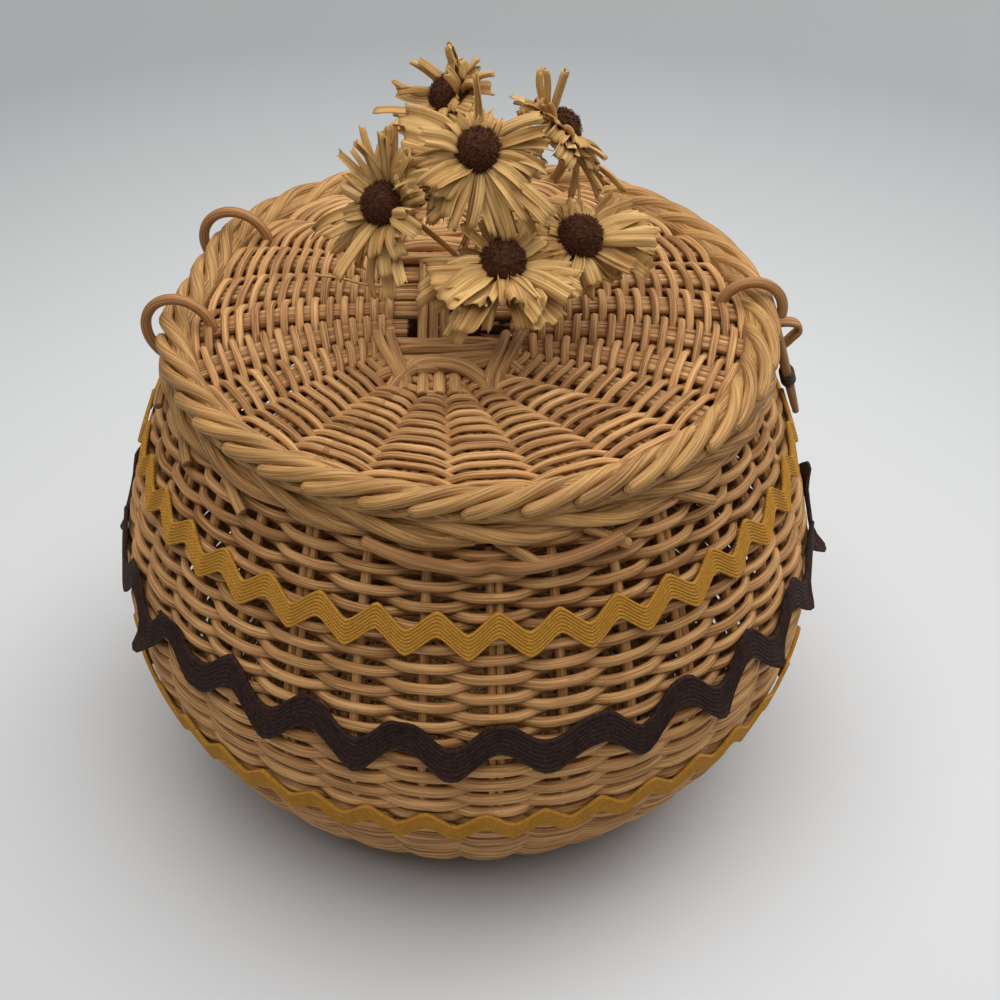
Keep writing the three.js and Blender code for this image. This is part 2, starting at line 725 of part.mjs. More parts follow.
const basket = new THREE.Group();
basket.add(
  mesh('base_mat', baseMat(), REED),
  mesh('wall_lower', wovenWall(0, CLOSE_WEAVE_TOP - SEAT, CLOSE_ROWS), REED),
  mesh('wall_upper', wovenWall(CLOSE_WEAVE_TOP, WALL_HEIGHT, OPEN_ROWS), REED),
  mesh('rim_border', rimBorder(), PALE_REED),
  mesh('rim_tuck_reed', tuckReed(), BROWN_REED),
  mesh('catch_loop', catchLoop(), BROWN_REED),
  mesh(
    'rickrack_gold_upper',
    rickrack(GOLD_UPPER_HEIGHT, GOLD_SWING, GOLD_BAND, GOLD_WAVE, POINTED_WAVE_STEPS, pointedWave),
    GOLD_TRIM,
  ),
  mesh(
    'rickrack_brown',
    rickrack(BROWN_HEIGHT, BROWN_SWING, BROWN_BAND, BROWN_WAVE, ROUND_WAVE_STEPS, roundWave),
    BROWN_TRIM,
  ),
  mesh(
    'rickrack_gold_lower',
    rickrack(GOLD_LOWER_HEIGHT, GOLD_SWING, GOLD_BAND, GOLD_WAVE, POINTED_WAVE_STEPS, pointedWave),
    GOLD_TRIM,
  ),
);
for (const [place, side] of Object.entries(HINGE_SIDES)) {
  basket.add(mesh(`hinge_ring_${place}`, hingeRing(side, 0), BROWN_REED));
}

const lid = new THREE.Group();
lid.add(
  mesh('lid_panel', lidPanel(), REED),
  mesh('lid_border', lidBorder(), PALE_REED),
  mesh('clasp_eye', claspEye(0), BROWN_REED),
  mesh('stem_binding', stemBinding(), GREEN_TAPE),
  crossGroup(),
);
for (const flower of FLOWERS) {
  lid.add(
    mesh(`flower_${flower.name}_petals`, flowerPetals(flower), STRAW),
    mesh(`flower_${flower.name}_centre`, flowerCentre(flower), FUZZ),
    mesh(`flower_${flower.name}_stem`, flowerStem(flower, 0), GREEN_TAPE),
  );
}

const sewingBasket = new THREE.Group();
sewingBasket.add(basket, lid, haspGroup());

export default sewingBasket;
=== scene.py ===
"""Lidded sewing basket: a woven body, a hinged lid, a reed clasp, wavy trims and husk flowers.

Every reed of the weave is laid over and under its neighbours as a shape of its own. The sizes
that a user would change are properties of the scene, and each group of like pieces has its own
operator.
"""

import json
import math

import bpy
import numpy as np
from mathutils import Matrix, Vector


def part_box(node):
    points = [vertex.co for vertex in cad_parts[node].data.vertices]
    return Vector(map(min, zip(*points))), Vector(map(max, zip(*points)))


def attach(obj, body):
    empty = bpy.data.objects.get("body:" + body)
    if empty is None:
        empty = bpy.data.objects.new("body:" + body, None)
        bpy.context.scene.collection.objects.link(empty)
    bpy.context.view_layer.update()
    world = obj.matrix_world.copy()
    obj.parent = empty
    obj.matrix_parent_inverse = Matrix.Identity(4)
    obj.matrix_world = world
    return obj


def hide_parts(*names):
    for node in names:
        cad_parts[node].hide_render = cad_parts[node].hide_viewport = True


bl_info = {
    "name": "Lidded sewing basket",
    "version": (1, 0, 0),
    "blender": (4, 5, 0),
    "location": "View3D > Sidebar > Basket",
    "description": "Weaves a lidded sewing basket with its clasp, trims and husk flowers",
    "category": "Object",
}

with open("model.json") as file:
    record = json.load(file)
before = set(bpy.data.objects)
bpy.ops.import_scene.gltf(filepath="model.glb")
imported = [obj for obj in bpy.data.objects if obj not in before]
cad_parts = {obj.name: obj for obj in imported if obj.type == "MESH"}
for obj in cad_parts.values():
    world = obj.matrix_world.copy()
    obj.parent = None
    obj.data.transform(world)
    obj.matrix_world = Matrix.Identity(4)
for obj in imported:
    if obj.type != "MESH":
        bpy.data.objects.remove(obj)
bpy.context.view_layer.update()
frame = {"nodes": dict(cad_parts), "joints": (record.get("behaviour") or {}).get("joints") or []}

MM = 0.001
TAU = 2 * math.pi
JOINTS = {joint["name"]: joint for joint in frame["joints"]}
UP = np.array([0.0, 0.0, 1.0])


def roll_of(node):
    """Height, middle-line radius and half thickness of a rolled border in the frame."""
    low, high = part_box(node)
    half = (high.z - low.z) / 2
    return (low.z + high.z) / 2, high.y - half, half


RIM_Z, RIM_PATH, RIM_HALF = roll_of("rim_border")
LID_Z, LID_PATH, LID_HALF = roll_of("lid_border")
HINGE_REACH = -JOINTS["lid_hinge"]["pos_m"][0]
HASP_PIVOT = np.array(JOINTS["hasp_swing"]["pos_m"])
HASP_AXIS = np.array(JOINTS["hasp_swing"]["axis"])
CLASP_TURN = math.atan2(HASP_PIVOT[1], HASP_PIVOT[0])


# Sizes and colours that a user would change

def length(name, description, millimetres):
    """A length property, given in millimetres and kept in metres."""
    return bpy.props.FloatProperty(
        name=name,
        description=description,
        default=millimetres * MM,
        min=0.0,
        precision=4,
        unit="LENGTH",
    )


def number(name, description, default):
    """A whole-number property of one or more."""
    return bpy.props.IntProperty(name=name, description=description, default=default, min=1)


def turned(name, description, degrees):
    """An angle property, given in degrees and kept in radians."""
    return bpy.props.FloatProperty(
        name=name, description=description, default=math.radians(degrees), unit="ROTATION"
    )


def linear(level):
    """A colour channel from 0 to 255 as the linear value a shader takes."""
    share = level / 255
    return share / 12.92 if share <= 0.04045 else ((share + 0.055) / 1.055) ** 2.4


def shade(red, green, blue):
    """A colour from its 0 to 255 channels."""
    return tuple(linear(level) for level in (red, green, blue))


def colour(name, description, red, green, blue):
    """A colour property, given in 0 to 255 channels."""
    return bpy.props.FloatVectorProperty(
        name=name,
        description=description,
        default=shade(red, green, blue),
        size=3,
        min=0.0,
        max=1.0,
        subtype="COLOR",
    )


class BasketWallSizes(bpy.types.PropertyGroup):
    """The woven wall and its rim"""

    base_radius: length("Base radius", "Outside of the wall at the floor", 62)
    belly_radius: length("Belly radius", "Outside of the wall at its widest", 102)
    belly_height: length("Belly height", "Height of the widest place", 70)
    flare_height: length("Flare height", "Height that sets how round the lower wall is", 30)
    rim_radius: length("Rim radius", "Outside of the wall at its top", 84.4)
    shoulder_height: length("Shoulder height", "Height that sets how round the shoulder is", 91)
    wall_height: length("Wall height", "Top of the woven wall", 135.5)
    close_top: length("Close weave top", "Height where the packed rows end", 62)
    wall_depth: length("Wall depth", "From the wall's outside to the middle of its weave", 2.75)
    stakes: number("Stakes", "Upright reeds round the wall", 32)
    stake_reed: length("Stake reed", "Thickness of a stake", 3.0)
    weaver: length("Weaver", "Thickness of a woven reed", 3.1)
    weave_swing: length("Weave swing", "How far a weaver goes before or behind a stake", 2.25)
    close_rows: number("Close rows", "Rows of the packed lower weave", 26)
    open_rows: number("Open rows", "Rows of the open upper weave", 26)
    first_stake: turned("First stake", "Direction of one stake", 8)


class BasketLidSizes(bpy.types.PropertyGroup):
    """The woven lid and its border"""

    panel_radius: length("Panel radius", "Outside of the woven panel", 75.7)
    lid_top: length("Lid top", "Height of the middle of the panel", 156.6)
    dome: length("Dome", "How far the panel falls towards its edge", 5)
    flat_radius: length("Flat radius", "Radius inside which the panel is flat", 35)
    panel_depth: length("Panel depth", "From the top of the panel to the middle of its weave", 2.5)
    spoke: length("Spoke", "Thickness of each reed of a spoke", 2.5)
    weaver: length("Weaver", "Thickness of a woven reed", 2.35)
    weave_swing: length("Weave swing", "How far a weaver goes above a spoke or below it", 2.3)
    rows: number("Rows", "Rows from the starting cross to the border", 26)
    hub_turn: turned("Hub turn", "Direction in which the starting cross lies", 15)
    border_groups: number("Border groups", "Groups of reeds round the border", 38)


class BasketTrimSizes(bpy.types.PropertyGroup):
    """The wavy trims"""

    gold_upper: length("Upper gold height", "Middle of the upper gold trim", 113.8)
    gold_lower: length("Lower gold height", "Middle of the lower gold trim", 50)
    gold_swing: length("Gold swing", "How far the gold trims wave up and down", 3)
    gold_band: length("Gold width", "Width of the gold trims", 7)
    gold_wave: length("Gold wave", "Length of one wave of the gold trims", 16)
    brown_height: length("Brown height", "Middle of the brown trim", 81)
    brown_swing: length("Brown swing", "How far the brown trim waves up and down", 4.9)
    brown_band: length("Brown width", "Width of the brown trim", 10)
    brown_wave: length("Brown wave", "Length of one wave of the brown trim", 27)
    cords: number("Cords", "Cords braided side by side in a trim", 7)


class BasketFlowerSizes(bpy.types.PropertyGroup):
    """The husk flowers"""

    pom_radius: length("Centre radius", "Radius of a fuzzy flower centre", 6.5)
    pom_height: length("Centre height", "Height of a fuzzy flower centre", 7.6)
    fuzz_length: length("Fuzz length", "Length of the fibres of a flower centre", 1.2)
    fuzz: number("Fuzz fibres", "Fibres on one flower centre", 900)
    stem: length("Stem", "Thickness of a flower stem", 1.6)


class BasketColours(bpy.types.PropertyGroup):
    """The colours of the finishes"""

    reed: colour("Reed", "Light colour of the woven reeds", 222, 171, 110)
    reed_dark: colour("Reed shade", "Dark colour of the woven reeds", 134, 88, 45)
    pale: colour("Border reed", "Light colour of the border reeds", 206, 158, 95)
    pale_dark: colour("Border reed shade", "Dark colour of the border reeds", 120, 80, 39)
    brown: colour("Thick reed", "Light colour of the thick brown reeds", 180, 129, 76)
    brown_dark: colour("Thick reed shade", "Dark colour of the thick brown reeds", 120, 80, 43)
    cut: colour("Cut end", "Colour of cut reed ends", 122, 82, 44)
    band: colour("Clasp band", "Colour of the thread round the clasp", 52, 38, 30)
    gold: colour("Gold trim", "Colour of the gold trims", 184, 131, 48)
    brown_trim: colour("Brown trim", "Colour of the brown trim", 72, 47, 39)
    pom: colour("Flower centre", "Colour of the fuzzy centres", 84, 52, 36)
    straw: colour("Petal", "Light colour of the husk petals", 223, 185, 120)
    straw_dark: colour("Petal shade", "Dark colour of the husk petals", 166, 120, 62)
    tape: colour("Stem tape", "Colour of the tape round the stems", 52, 66, 40)
    floor: colour("Floor", "Colour of the floor round the basket", 202, 203, 204)
    # Painted shade: the floor is darkened towards this colour with distance from the basket, where
    # the light falls off.
    far_floor_shade: colour("Far floor", "Colour of the floor further away", 146, 149, 150)
    backdrop: colour("Backdrop", "Colour seen behind the floor", 178, 181, 182)


# Paths and sections of reeds

def unit(vectors):
    """Vectors brought to a length of one along their last axis."""
    return vectors / np.maximum(np.linalg.norm(vectors, axis=-1, keepdims=True), 1e-12)


def directions(path, closed):
    """Direction of a path at each of its points."""
    if closed:
        return unit(np.roll(path, -1, axis=0) - np.roll(path, 1, axis=0))
    return unit(np.gradient(path, axis=0))


def ring(radius, turn, height):
    """Points round the axis from their radius, direction and height."""
    parts = np.broadcast_arrays(radius * np.cos(turn), radius * np.sin(turn), height)
    return np.stack(parts, axis=-1)


def evenly(count):
    """Directions spread evenly over one turn."""
    return np.arange(count) * TAU / count


def plan_turned(places, angle):
    """Places in plan, turned about the axis, as their x and y."""
    cosine, sine = math.cos(angle), math.sin(angle)
    x, y = places[..., 0], places[..., 1]
    return x * cosine - y * sine, x * sine + y * cosine


def corners_of(node):
    """Corners of a solid of the frame."""
    return np.array([vertex.co for vertex in frame["nodes"][node].data.vertices])


def lengths(path):
    """Length of a path up to each of its points."""
    steps = np.linalg.norm(np.diff(path, axis=0), axis=1)
    return np.concatenate([[0.0], np.cumsum(steps)])


def section_axes(tangent, up):
    """Two directions across a path, steered by an up direction or carried along without twist."""
    if up is not None:
        across = unit(np.cross(tangent, np.broadcast_to(up, tangent.shape)))
        return across, np.cross(across, tangent)
    helper = np.eye(3)[np.argmin(np.abs(tangent[0]))]
    across = np.empty_like(tangent)
    across[0] = unit(np.cross(tangent[0], helper))
    for step in range(1, len(tangent)):
        carried = across[step - 1]
        across[step] = unit(carried - tangent[step] * np.dot(carried, tangent[step]))
    return across, np.cross(across, tangent)


# Rounded ends of a reed, in shares of its radius: how far they reach and how thick they end
END_REACH = 0.35
END_SHARE = 0.72


def soft_ends(path, radii):
    """Adds a smaller section beyond each end of an open path, which rounds the end."""
    first = unit(path[0] - path[1]) * radii[0] * END_REACH
    last = unit(path[-1] - path[-2]) * radii[-1] * END_REACH
    path = np.concatenate([[path[0] + first], path, [path[-1] + last]])
    return path, np.concatenate([[radii[0] * END_SHARE], radii, [radii[-1] * END_SHARE]])


def fan_faces(near, far, middle):
    """Three-cornered faces from each step of an edge to one middle point."""
    return np.stack([near, far, np.full(len(near), middle)], axis=1)


def grid_faces(rows, columns, closed_rows, closed_columns):
    """Four-cornered faces of a grid of points, row after row."""
    row = np.arange(rows if closed_rows else rows - 1)[:, None]
    column = np.arange(columns if closed_columns else columns - 1)[None, :]
    next_row = (row + 1) % rows
    next_column = (column + 1) % columns
    corners = (
        row * columns + column,
        next_row * columns + column,
        next_row * columns + next_column,
        row * columns + next_column,
    )
    return np.stack(corners, axis=-1).reshape(-1, 4)


def smooth_path(points, steps):
    """A smooth curve through the given points, with steps pieces between neighbours."""
    points = np.asarray(points, float)
    padded = np.concatenate([[2 * points[0] - points[1]], points, [2 * points[-1] - points[-2]]])
    share = np.arange(steps)[:, None] / steps
    pieces = []
    for first in range(len(points) - 1):
        a, b, c, d = padded[first : first + 4]
        bend = (2 * a - 5 * b + 4 * c - d) * share**2
        twist = (3 * b - a - 3 * c + d) * share**3
        pieces.append(0.5 * (2 * b + (c - a) * share + bend + twist))
    return np.concatenate(pieces + [points[-1:]])


# Depth of the ribs along a thick reed, as a share of its radius
RIB_DEPTH = 0.04


class Strands:
    """Reeds, strips and fibres gathered into one mesh, with grain coordinates for their finish."""

    def __init__(self, seed):
        self.random = np.random.default_rng(seed)
        self.points = []
        self.grain = []
        self.tone = []
        self.cut = []
        self.corners = []
        self.sizes = []
        self.count = 0

    def add(self, points, grain, cut, faces, tone=None):
        """Takes one closed shell with its grain coordinates, cut mask and faces."""
        if tone is None:
            tone = self.random.uniform(0, 1)
        self.points.append(points.reshape(-1, 3))
        self.grain.append(grain.reshape(-1, 3) + self.random.uniform(-1, 1, 3))
        self.tone.append(np.full(len(self.points[-1]), tone))
        self.cut.append(np.ravel(cut))
        for block in faces:
            self.corners.append((block + self.count).ravel())
            self.sizes.append(np.full(len(block), block.shape[1]))
        self.count += len(self.points[-1])

    def reed(self, path, thickness, sides=8, closed=False, up=None, flat=1.0, tone=None, ribs=0):
        """Lays one reed along a path: a closed ring, or a length with two cut ends."""
        path = np.asarray(path, float)
        radii = np.broadcast_to(np.asarray(thickness, float) / 2, len(path)) * 1.0
        if not closed:
            path, radii = soft_ends(path, radii)
            if np.ndim(up) == 2:
                up = np.concatenate([up[:1], up, up[-1:]])
        tangent = directions(path, closed)
        across, over = section_axes(tangent, up)
        turn = evenly(sides)
        ribbed = radii[:, None] * (1 + RIB_DEPTH * np.cos(ribs * turn) if ribs else 1.0)
        wide = ribbed * np.cos(turn)
        high = ribbed * np.sin(turn) * flat
        points = path[:, None] + wide[..., None] * across[:, None] + high[..., None] * over[:, None]
        along = np.broadcast_to(lengths(path)[:, None], wide.shape)
        grain = np.stack([along, wide, high], axis=-1).reshape(-1, 3)
        points = points.reshape(-1, 3)
        faces = [grid_faces(len(path), sides, closed, True)]
        cut = np.zeros(len(points))
        if not closed:
            here = np.arange(sides)
            following = (here + 1) % sides
            last = (len(path) - 1) * sides
            middle = len(points)
            points = np.concatenate([points, path[:1], path[-1:]])
            ends = [[along[0, 0], 0, 0], [along[-1, 0], 0, 0]]
            grain = np.concatenate([grain, ends])
            cut[:sides] = 1
            cut[last:] = 1
            cut = np.concatenate([cut, [1, 1]])
            faces.append(fan_faces(here, following, middle))
            faces.append(fan_faces(last + following, last + here, middle + 1))
        self.add(points, grain, cut, faces, tone)

    def strip(self, top, bottom, grain, closed=False, tone=None):
        """Adds a flat piece between two grids of points: a closed band, or a strip with ends."""
        rows, columns = top.shape[:2]
        size = rows * columns
        upper = grid_faces(rows, columns, closed, False)
        faces = [upper, upper[:, ::-1] + size]
        row = np.arange(rows if closed else rows - 1)
        following = (row + 1) % rows
        sides = [(row * columns, following * columns, False)]
        sides.append((row * columns + columns - 1, following * columns + columns - 1, True))
        if not closed:
            column = np.arange(columns - 1)
            for start, forward in ((0, True), ((rows - 1) * columns, False)):
                sides.append((start + column, start + column + 1, forward))
        for near, far, forward in sides:
            edge = np.stack([near, far, far + size, near + size], axis=1)
            faces.append(edge if forward else edge[:, ::-1])
        points = np.concatenate([top.reshape(-1, 3), bottom.reshape(-1, 3)])
        both = np.concatenate([grain.reshape(-1, 3), grain.reshape(-1, 3)])
        self.add(points, both, np.zeros(len(points)), faces, tone)

    def build(self, name, slot, body, *nodes):
        """Makes the object, gives it its finish and joins it to its body of the frame."""
        mesh = bpy.data.meshes.new(name)
        points = np.concatenate(self.points)
        corners = np.concatenate(self.corners)
        sizes = np.concatenate(self.sizes)
        mesh.vertices.add(len(points))
        mesh.vertices.foreach_set("co", points.ravel())
        mesh.loops.add(len(corners))
        mesh.loops.foreach_set("vertex_index", corners)
        mesh.polygons.add(len(sizes))
        mesh.polygons.foreach_set("loop_start", np.concatenate([[0], np.cumsum(sizes)[:-1]]))
        mesh.update(calc_edges=True)
        mesh.polygons.foreach_set("use_smooth", np.ones(len(sizes), bool))
        grain = mesh.attributes.new("grain", "FLOAT_VECTOR", "POINT")
        grain.data.foreach_set("vector", np.concatenate(self.grain).ravel())
        for label, values in (("tone", self.tone), ("cut", self.cut)):
            attribute = mesh.attributes.new(label, "FLOAT", "POINT")
            attribute.data.foreach_set("value", np.concatenate(values))
        if mesh.validate():
            raise RuntimeError(f"{name} has faces that can't be used")
        piece = bpy.data.objects.new(name, mesh)
        bpy.context.scene.collection.objects.link(piece)
        mesh.materials.append(finish_of(slot))
        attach(piece, body)
        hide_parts(*nodes)


# Finishes

class Nodes:
    """Adds shader nodes to one tree, setting or linking their inputs by name."""

    def __init__(self, tree):
        self.tree = tree

    def new(self, kind, inputs=None, **settings):
        """One node with its settings, and inputs that are values or other nodes' outputs."""
        node = self.tree.nodes.new(kind)
        for setting, value in settings.items():
            setattr(node, setting, value)
        for key, value in (inputs or {}).items():
            self.feed(node.inputs[key], value)
        return node

    def feed(self, socket, value):
        """Links an output to a socket, or sets the socket's own value."""
        if isinstance(value, bpy.types.NodeSocket):
            self.tree.links.new(value, socket)
        elif socket.type == "RGBA" and len(value) == 3:
            socket.default_value = (*value, 1.0)
        else:
            socket.default_value = value

    def mix(self, factor, first, second):
        """A mix of two colours."""
        node = self.new("ShaderNodeMix", data_type="RGBA")
        self.feed(node.inputs[0], factor)
        self.feed(node.inputs[6], first)
        self.feed(node.inputs[7], second)
        return node.outputs[2]

    def math(self, operation, first, second=0.0):
        """A sum, product or other value of two values."""
        node = self.new("ShaderNodeMath", operation=operation)
        self.feed(node.inputs[0], first)
        self.feed(node.inputs[1], second)
        return node.outputs[0]

    def ramp(self, value, low, high):
        """A value spread so that low gives 0 and high gives 1."""
        node = self.new("ShaderNodeMapRange", {"Value": value, "From Min": low, "From Max": high})
        return node.outputs["Result"]

    def attribute(self, name):
        """A value kept at each point of the mesh."""
        return self.new("ShaderNodeAttribute", attribute_name=name)

    def noise(self, vector, scale, detail=2.0):
        """Soft noise over a vector."""
        inputs = {"Vector": vector, "Scale": scale, "Detail": detail}
        return self.new("ShaderNodeTexNoise", inputs).outputs["Fac"]

    def stretched(self, vector, along, across):
        """A vector with its first part scaled apart from the other two."""
        inputs = {0: vector, 1: (along, across, across)}
        return self.new("ShaderNodeVectorMath", inputs, operation="MULTIPLY").outputs[0]


def new_group(name, inputs, outputs):
    """An empty shader node group with named inputs and outputs."""
    group = bpy.data.node_groups.new(name, "ShaderNodeTree")
    for label, kind, value in inputs:
        socket = group.interface.new_socket(label, in_out="INPUT", socket_type=kind)
        if value is not None:
            socket.default_value = value
    for label, kind in outputs:
        group.interface.new_socket(label, in_out="OUTPUT", socket_type=kind)
    return group


def reed_grain():
    """The shared fibre group: streaks along a reed, blotches, a tone for each reed and cut ends."""
    name = "Reed grain"
    if name in bpy.data.node_groups:
        return bpy.data.node_groups[name]
    inputs = (
        ("Light", "NodeSocketColor", None),
        ("Dark", "NodeSocketColor", None),
        ("Cut", "NodeSocketColor", None),
        ("Fibres", "NodeSocketFloat", 2400.0),
        ("Variety", "NodeSocketFloat", 0.35),
        ("Roughness", "NodeSocketFloat", 0.6),
    )
    outputs = (
        ("Color", "NodeSocketColor"),
        ("Roughness", "NodeSocketFloat"),
        ("Height", "NodeSocketFloat"),
    )
    group = new_group(name, inputs, outputs)
    nodes = Nodes(group)
    given = nodes.new("NodeGroupInput").outputs
    grain = nodes.attribute("grain").outputs["Vector"]
    tone = nodes.attribute("tone").outputs["Fac"]
    cut = nodes.attribute("cut").outputs["Fac"]
    streaks = nodes.noise(nodes.stretched(grain, 0.025, 1.0), given["Fibres"], 3.0)
    blotches = nodes.noise(nodes.stretched(grain, 0.3, 0.5), 160.0, 2.0)
    flecks = nodes.ramp(nodes.noise(nodes.stretched(grain, 0.5, 1.0), 700.0, 1.0), 0.66, 0.74)
    streak_share = nodes.ramp(streaks, 0.38, 0.62)
    blotch_share = nodes.ramp(blotches, 0.36, 0.7)
    varied = nodes.math("MULTIPLY", tone, given["Variety"])
    share = nodes.math("MULTIPLY", streak_share, 0.62)
    share = nodes.math("ADD", share, nodes.math("MULTIPLY", blotch_share, 0.25))
    share = nodes.math("ADD", share, varied)
    share = nodes.math("MINIMUM", share, 1.0)
    body = nodes.mix(share, given["Light"], given["Dark"])
    speckled = nodes.mix(nodes.math("MULTIPLY", flecks, 0.3), body, given["Cut"])
    finished = nodes.mix(cut, speckled, given["Cut"])
    rough = nodes.math("ADD", given["Roughness"], nodes.math("MULTIPLY", streak_share, 0.12))
    results = {"Color": finished, "Roughness": rough, "Height": streaks}
    nodes.new("NodeGroupOutput", results)
    return group


def principled(name, inputs):
    """A new material with one Principled shader, and the helper that adds nodes to it."""
    material = bpy.data.materials.new(name)
    material.use_nodes = True
    nodes = Nodes(material.node_tree)
    shader = material.node_tree.nodes["Principled BSDF"]
    for key, value in inputs.items():
        nodes.feed(shader.inputs[key], value)
    return material, nodes, shader


def scaled(base, share):
    """A colour made darker or lighter."""
    return tuple(share * part for part in base)


def fibrous(name, light, dark, cut, fibres, variety, roughness, relief):
    """Reed, straw or husk: the fibre group in a material of its own."""
    material, nodes, shader = principled(name, {"Specular IOR Level": 0.35})
    group = nodes.new("ShaderNodeGroup", node_tree=reed_grain())
    values = {"Light": light, "Dark": dark, "Cut": cut, "Fibres": fibres}
    values.update({"Variety": variety, "Roughness": roughness})
    for key, value in values.items():
        nodes.feed(group.inputs[key], value)
    bump = nodes.new("ShaderNodeBump", {"Strength": relief, "Distance": 0.3 * MM})
    nodes.feed(bump.inputs["Height"], group.outputs["Height"])
    nodes.feed(shader.inputs["Base Color"], group.outputs["Color"])
    nodes.feed(shader.inputs["Roughness"], group.outputs["Roughness"])
    nodes.feed(shader.inputs["Normal"], bump.outputs["Normal"])
    return material


# Height of the cords in the grain coordinates of a trim
CORD_RIDGE = 0.6 * MM


def braided(name, base, cords):
    """A braided trim: fine slanting threads on its cords, with painted shade in the dips between
    them and painted glints on them.
    """
    material, nodes, shader = principled(name, {"Roughness": 0.8, "Specular IOR Level": 0.2})
    grain = nodes.attribute("grain").outputs["Vector"]
    parts = nodes.new("ShaderNodeSeparateXYZ", {0: grain}).outputs
    twisted = nodes.math("ADD", parts["X"], nodes.math("MULTIPLY", parts["Z"], cords / 6))
    threads = nodes.math("SINE", nodes.math("MULTIPLY", twisted, 9000.0))
    share = nodes.ramp(threads, -1.6, 1.0)
    # Painted glints: lighter flecks that stand in for the sparkle of the threads.
    painted_glints = nodes.ramp(nodes.noise(nodes.stretched(grain, 0.6, 1.0), 1500.0, 2.0), 0.35, 0.7)
    depth = nodes.math("MULTIPLY", parts["Z"], 1.0 / CORD_RIDGE)
    light = nodes.mix(share, scaled(base, 0.62), base)
    # Painted shade: the dips between the cords are darkened towards a fifth of the trim's colour.
    light = nodes.mix(nodes.ramp(depth, 0.7, 0.0), light, scaled(base, 0.22))
    light = nodes.mix(nodes.math("MULTIPLY", painted_glints, 0.35), light, scaled(base, 1.7))
    nodes.feed(shader.inputs["Base Color"], light)
    bump = nodes.new("ShaderNodeBump", {"Strength": 0.5, "Distance": 0.25 * MM, "Height": share})
    nodes.feed(shader.inputs["Normal"], bump.outputs["Normal"])
    return material


def felted(name, base):
    """Felted fibres: darker or lighter by the tone of each one."""
    material, nodes, shader = principled(name, {"Roughness": 0.95, "Specular IOR Level": 0.1})
    tone = nodes.attribute("tone").outputs["Fac"]
    mixed = nodes.mix(tone, scaled(base, 0.55), scaled(base, 1.7))
    nodes.feed(shader.inputs["Base Color"], mixed)
    return material


def plain(name, base, roughness):
    """One colour with a little soft variation."""
    material, nodes, shader = principled(name, {"Roughness": roughness})
    grain = nodes.attribute("grain").outputs["Vector"]
    varied = nodes.mix(nodes.noise(grain, 500.0), scaled(base, 0.6), base)
    nodes.feed(shader.inputs["Base Color"], varied)
    return material


# How each slot is finished: the finish, its colours, and the values that the finish takes.
# Fibrous: fineness of the fibres, variety from reed to reed, roughness and relief. Plain:
# roughness. A braided trim takes the number of its cords.
FINISHES = {
    "reed": (fibrous, ("reed", "reed_dark", "cut"), (2400.0, 0.35, 0.6, 0.8)),
    "pale_reed": (fibrous, ("pale", "pale_dark", "cut"), (2600.0, 0.25, 0.6, 0.8)),
    "brown_reed": (fibrous, ("brown", "brown_dark", "cut"), (1900.0, 0.15, 0.5, 0.45)),
    "straw": (fibrous, ("straw", "straw_dark", "straw_dark"), (2000.0, 0.35, 0.62, 0.6)),
    "gold_trim": (braided, ("gold",), ()),
    "brown_trim": (braided, ("brown_trim",), ()),
    "pom": (felted, ("pom",), ()),
    "dark_band": (plain, ("band",), (0.7,)),
    "green_tape": (plain, ("tape",), (0.75,)),
}


def finish_of(slot):
    """The material of a slot, made when it is first asked for."""
    name = f"finish_{slot}"
    if name not in bpy.data.materials:
        scene = bpy.context.scene
        make, shades, values = FINISHES[slot]
        colours = [tuple(getattr(scene.basket_colours, label)) for label in shades]
        if make is braided:
            values = (scene.basket_trims.cords,)
        make(slot, *colours, *values).name = name
    return bpy.data.materials[name]


# Shapes of the wall

# Stakes: where they start, how far they lean aside, and the share and spacing of a thinner pair
STAKE_FOOT = 3 * MM
STAKE_LEAN = 0.004
PAIR_REED = 0.78
PAIR_SPACING = 1.02

# Rows: how much thicker the packed ones are, the height over which they thin, their flatness and
# unevenness, and how far above the wall the row lies that the rim hides
PACKED = 1.28
THINNING = 36 * MM
ROW_FLAT = 0.85
OPEN_UNEVEN, CLOSE_UNEVEN, SWING_UNEVEN = 0.45 * MM, 0.2 * MM, 0.3 * MM
HIDDEN_ROW = 0.8 * MM


def wall_radius(height, wall):
    """Outside radius of the wall at a height: a round belly between the base and the rim."""
    height = np.asarray(height, float)
    low = np.clip(height, 0, wall.belly_height)
    flare = wall.flare_height
    share = low / (flare + np.sqrt(flare**2 + (wall.belly_height - 2 * flare) * low))
    below = wall.belly_radius - (wall.belly_radius - wall.base_radius) * (1 - share) ** 2
    rise = np.clip(height - wall.belly_height, 0, None)
    shoulder = wall.shoulder_height - wall.belly_height
    fall = wall.wall_height - wall.belly_height - 2 * shoulder
    share = rise / (shoulder + np.sqrt(shoulder**2 + fall * rise))
    above = wall.belly_radius - (wall.belly_radius - wall.rim_radius) * share**2
    return np.where(height <= wall.belly_height, below, above)


def wall_points(turn, height, stand, wall):
    """Points on the wall, standing out from it along its own slope."""
    step = 0.5 * MM
    slope = (wall_radius(height + step, wall) - wall_radius(height - step, wall)) / (2 * step)
    level = 1 / np.sqrt(1 + slope**2)
    radius = wall_radius(height, wall) + stand * level
    return ring(radius, turn, height - stand * slope * level)


def round_trip(random, turn, size, waves):
    """A soft unevenness that closes on itself round the basket."""
    total = np.zeros_like(turn)
    for wave in waves:
        total += np.sin(wave * turn + random.uniform(0, TAU)) * random.uniform(0.4, 1)
    return total * size / len(waves)


def crossing_wave(phase):
    """Over and under: 1 over a reed, -1 under it, with flattened tops."""
    return np.sin(np.pi / 2 * np.cos(phase))


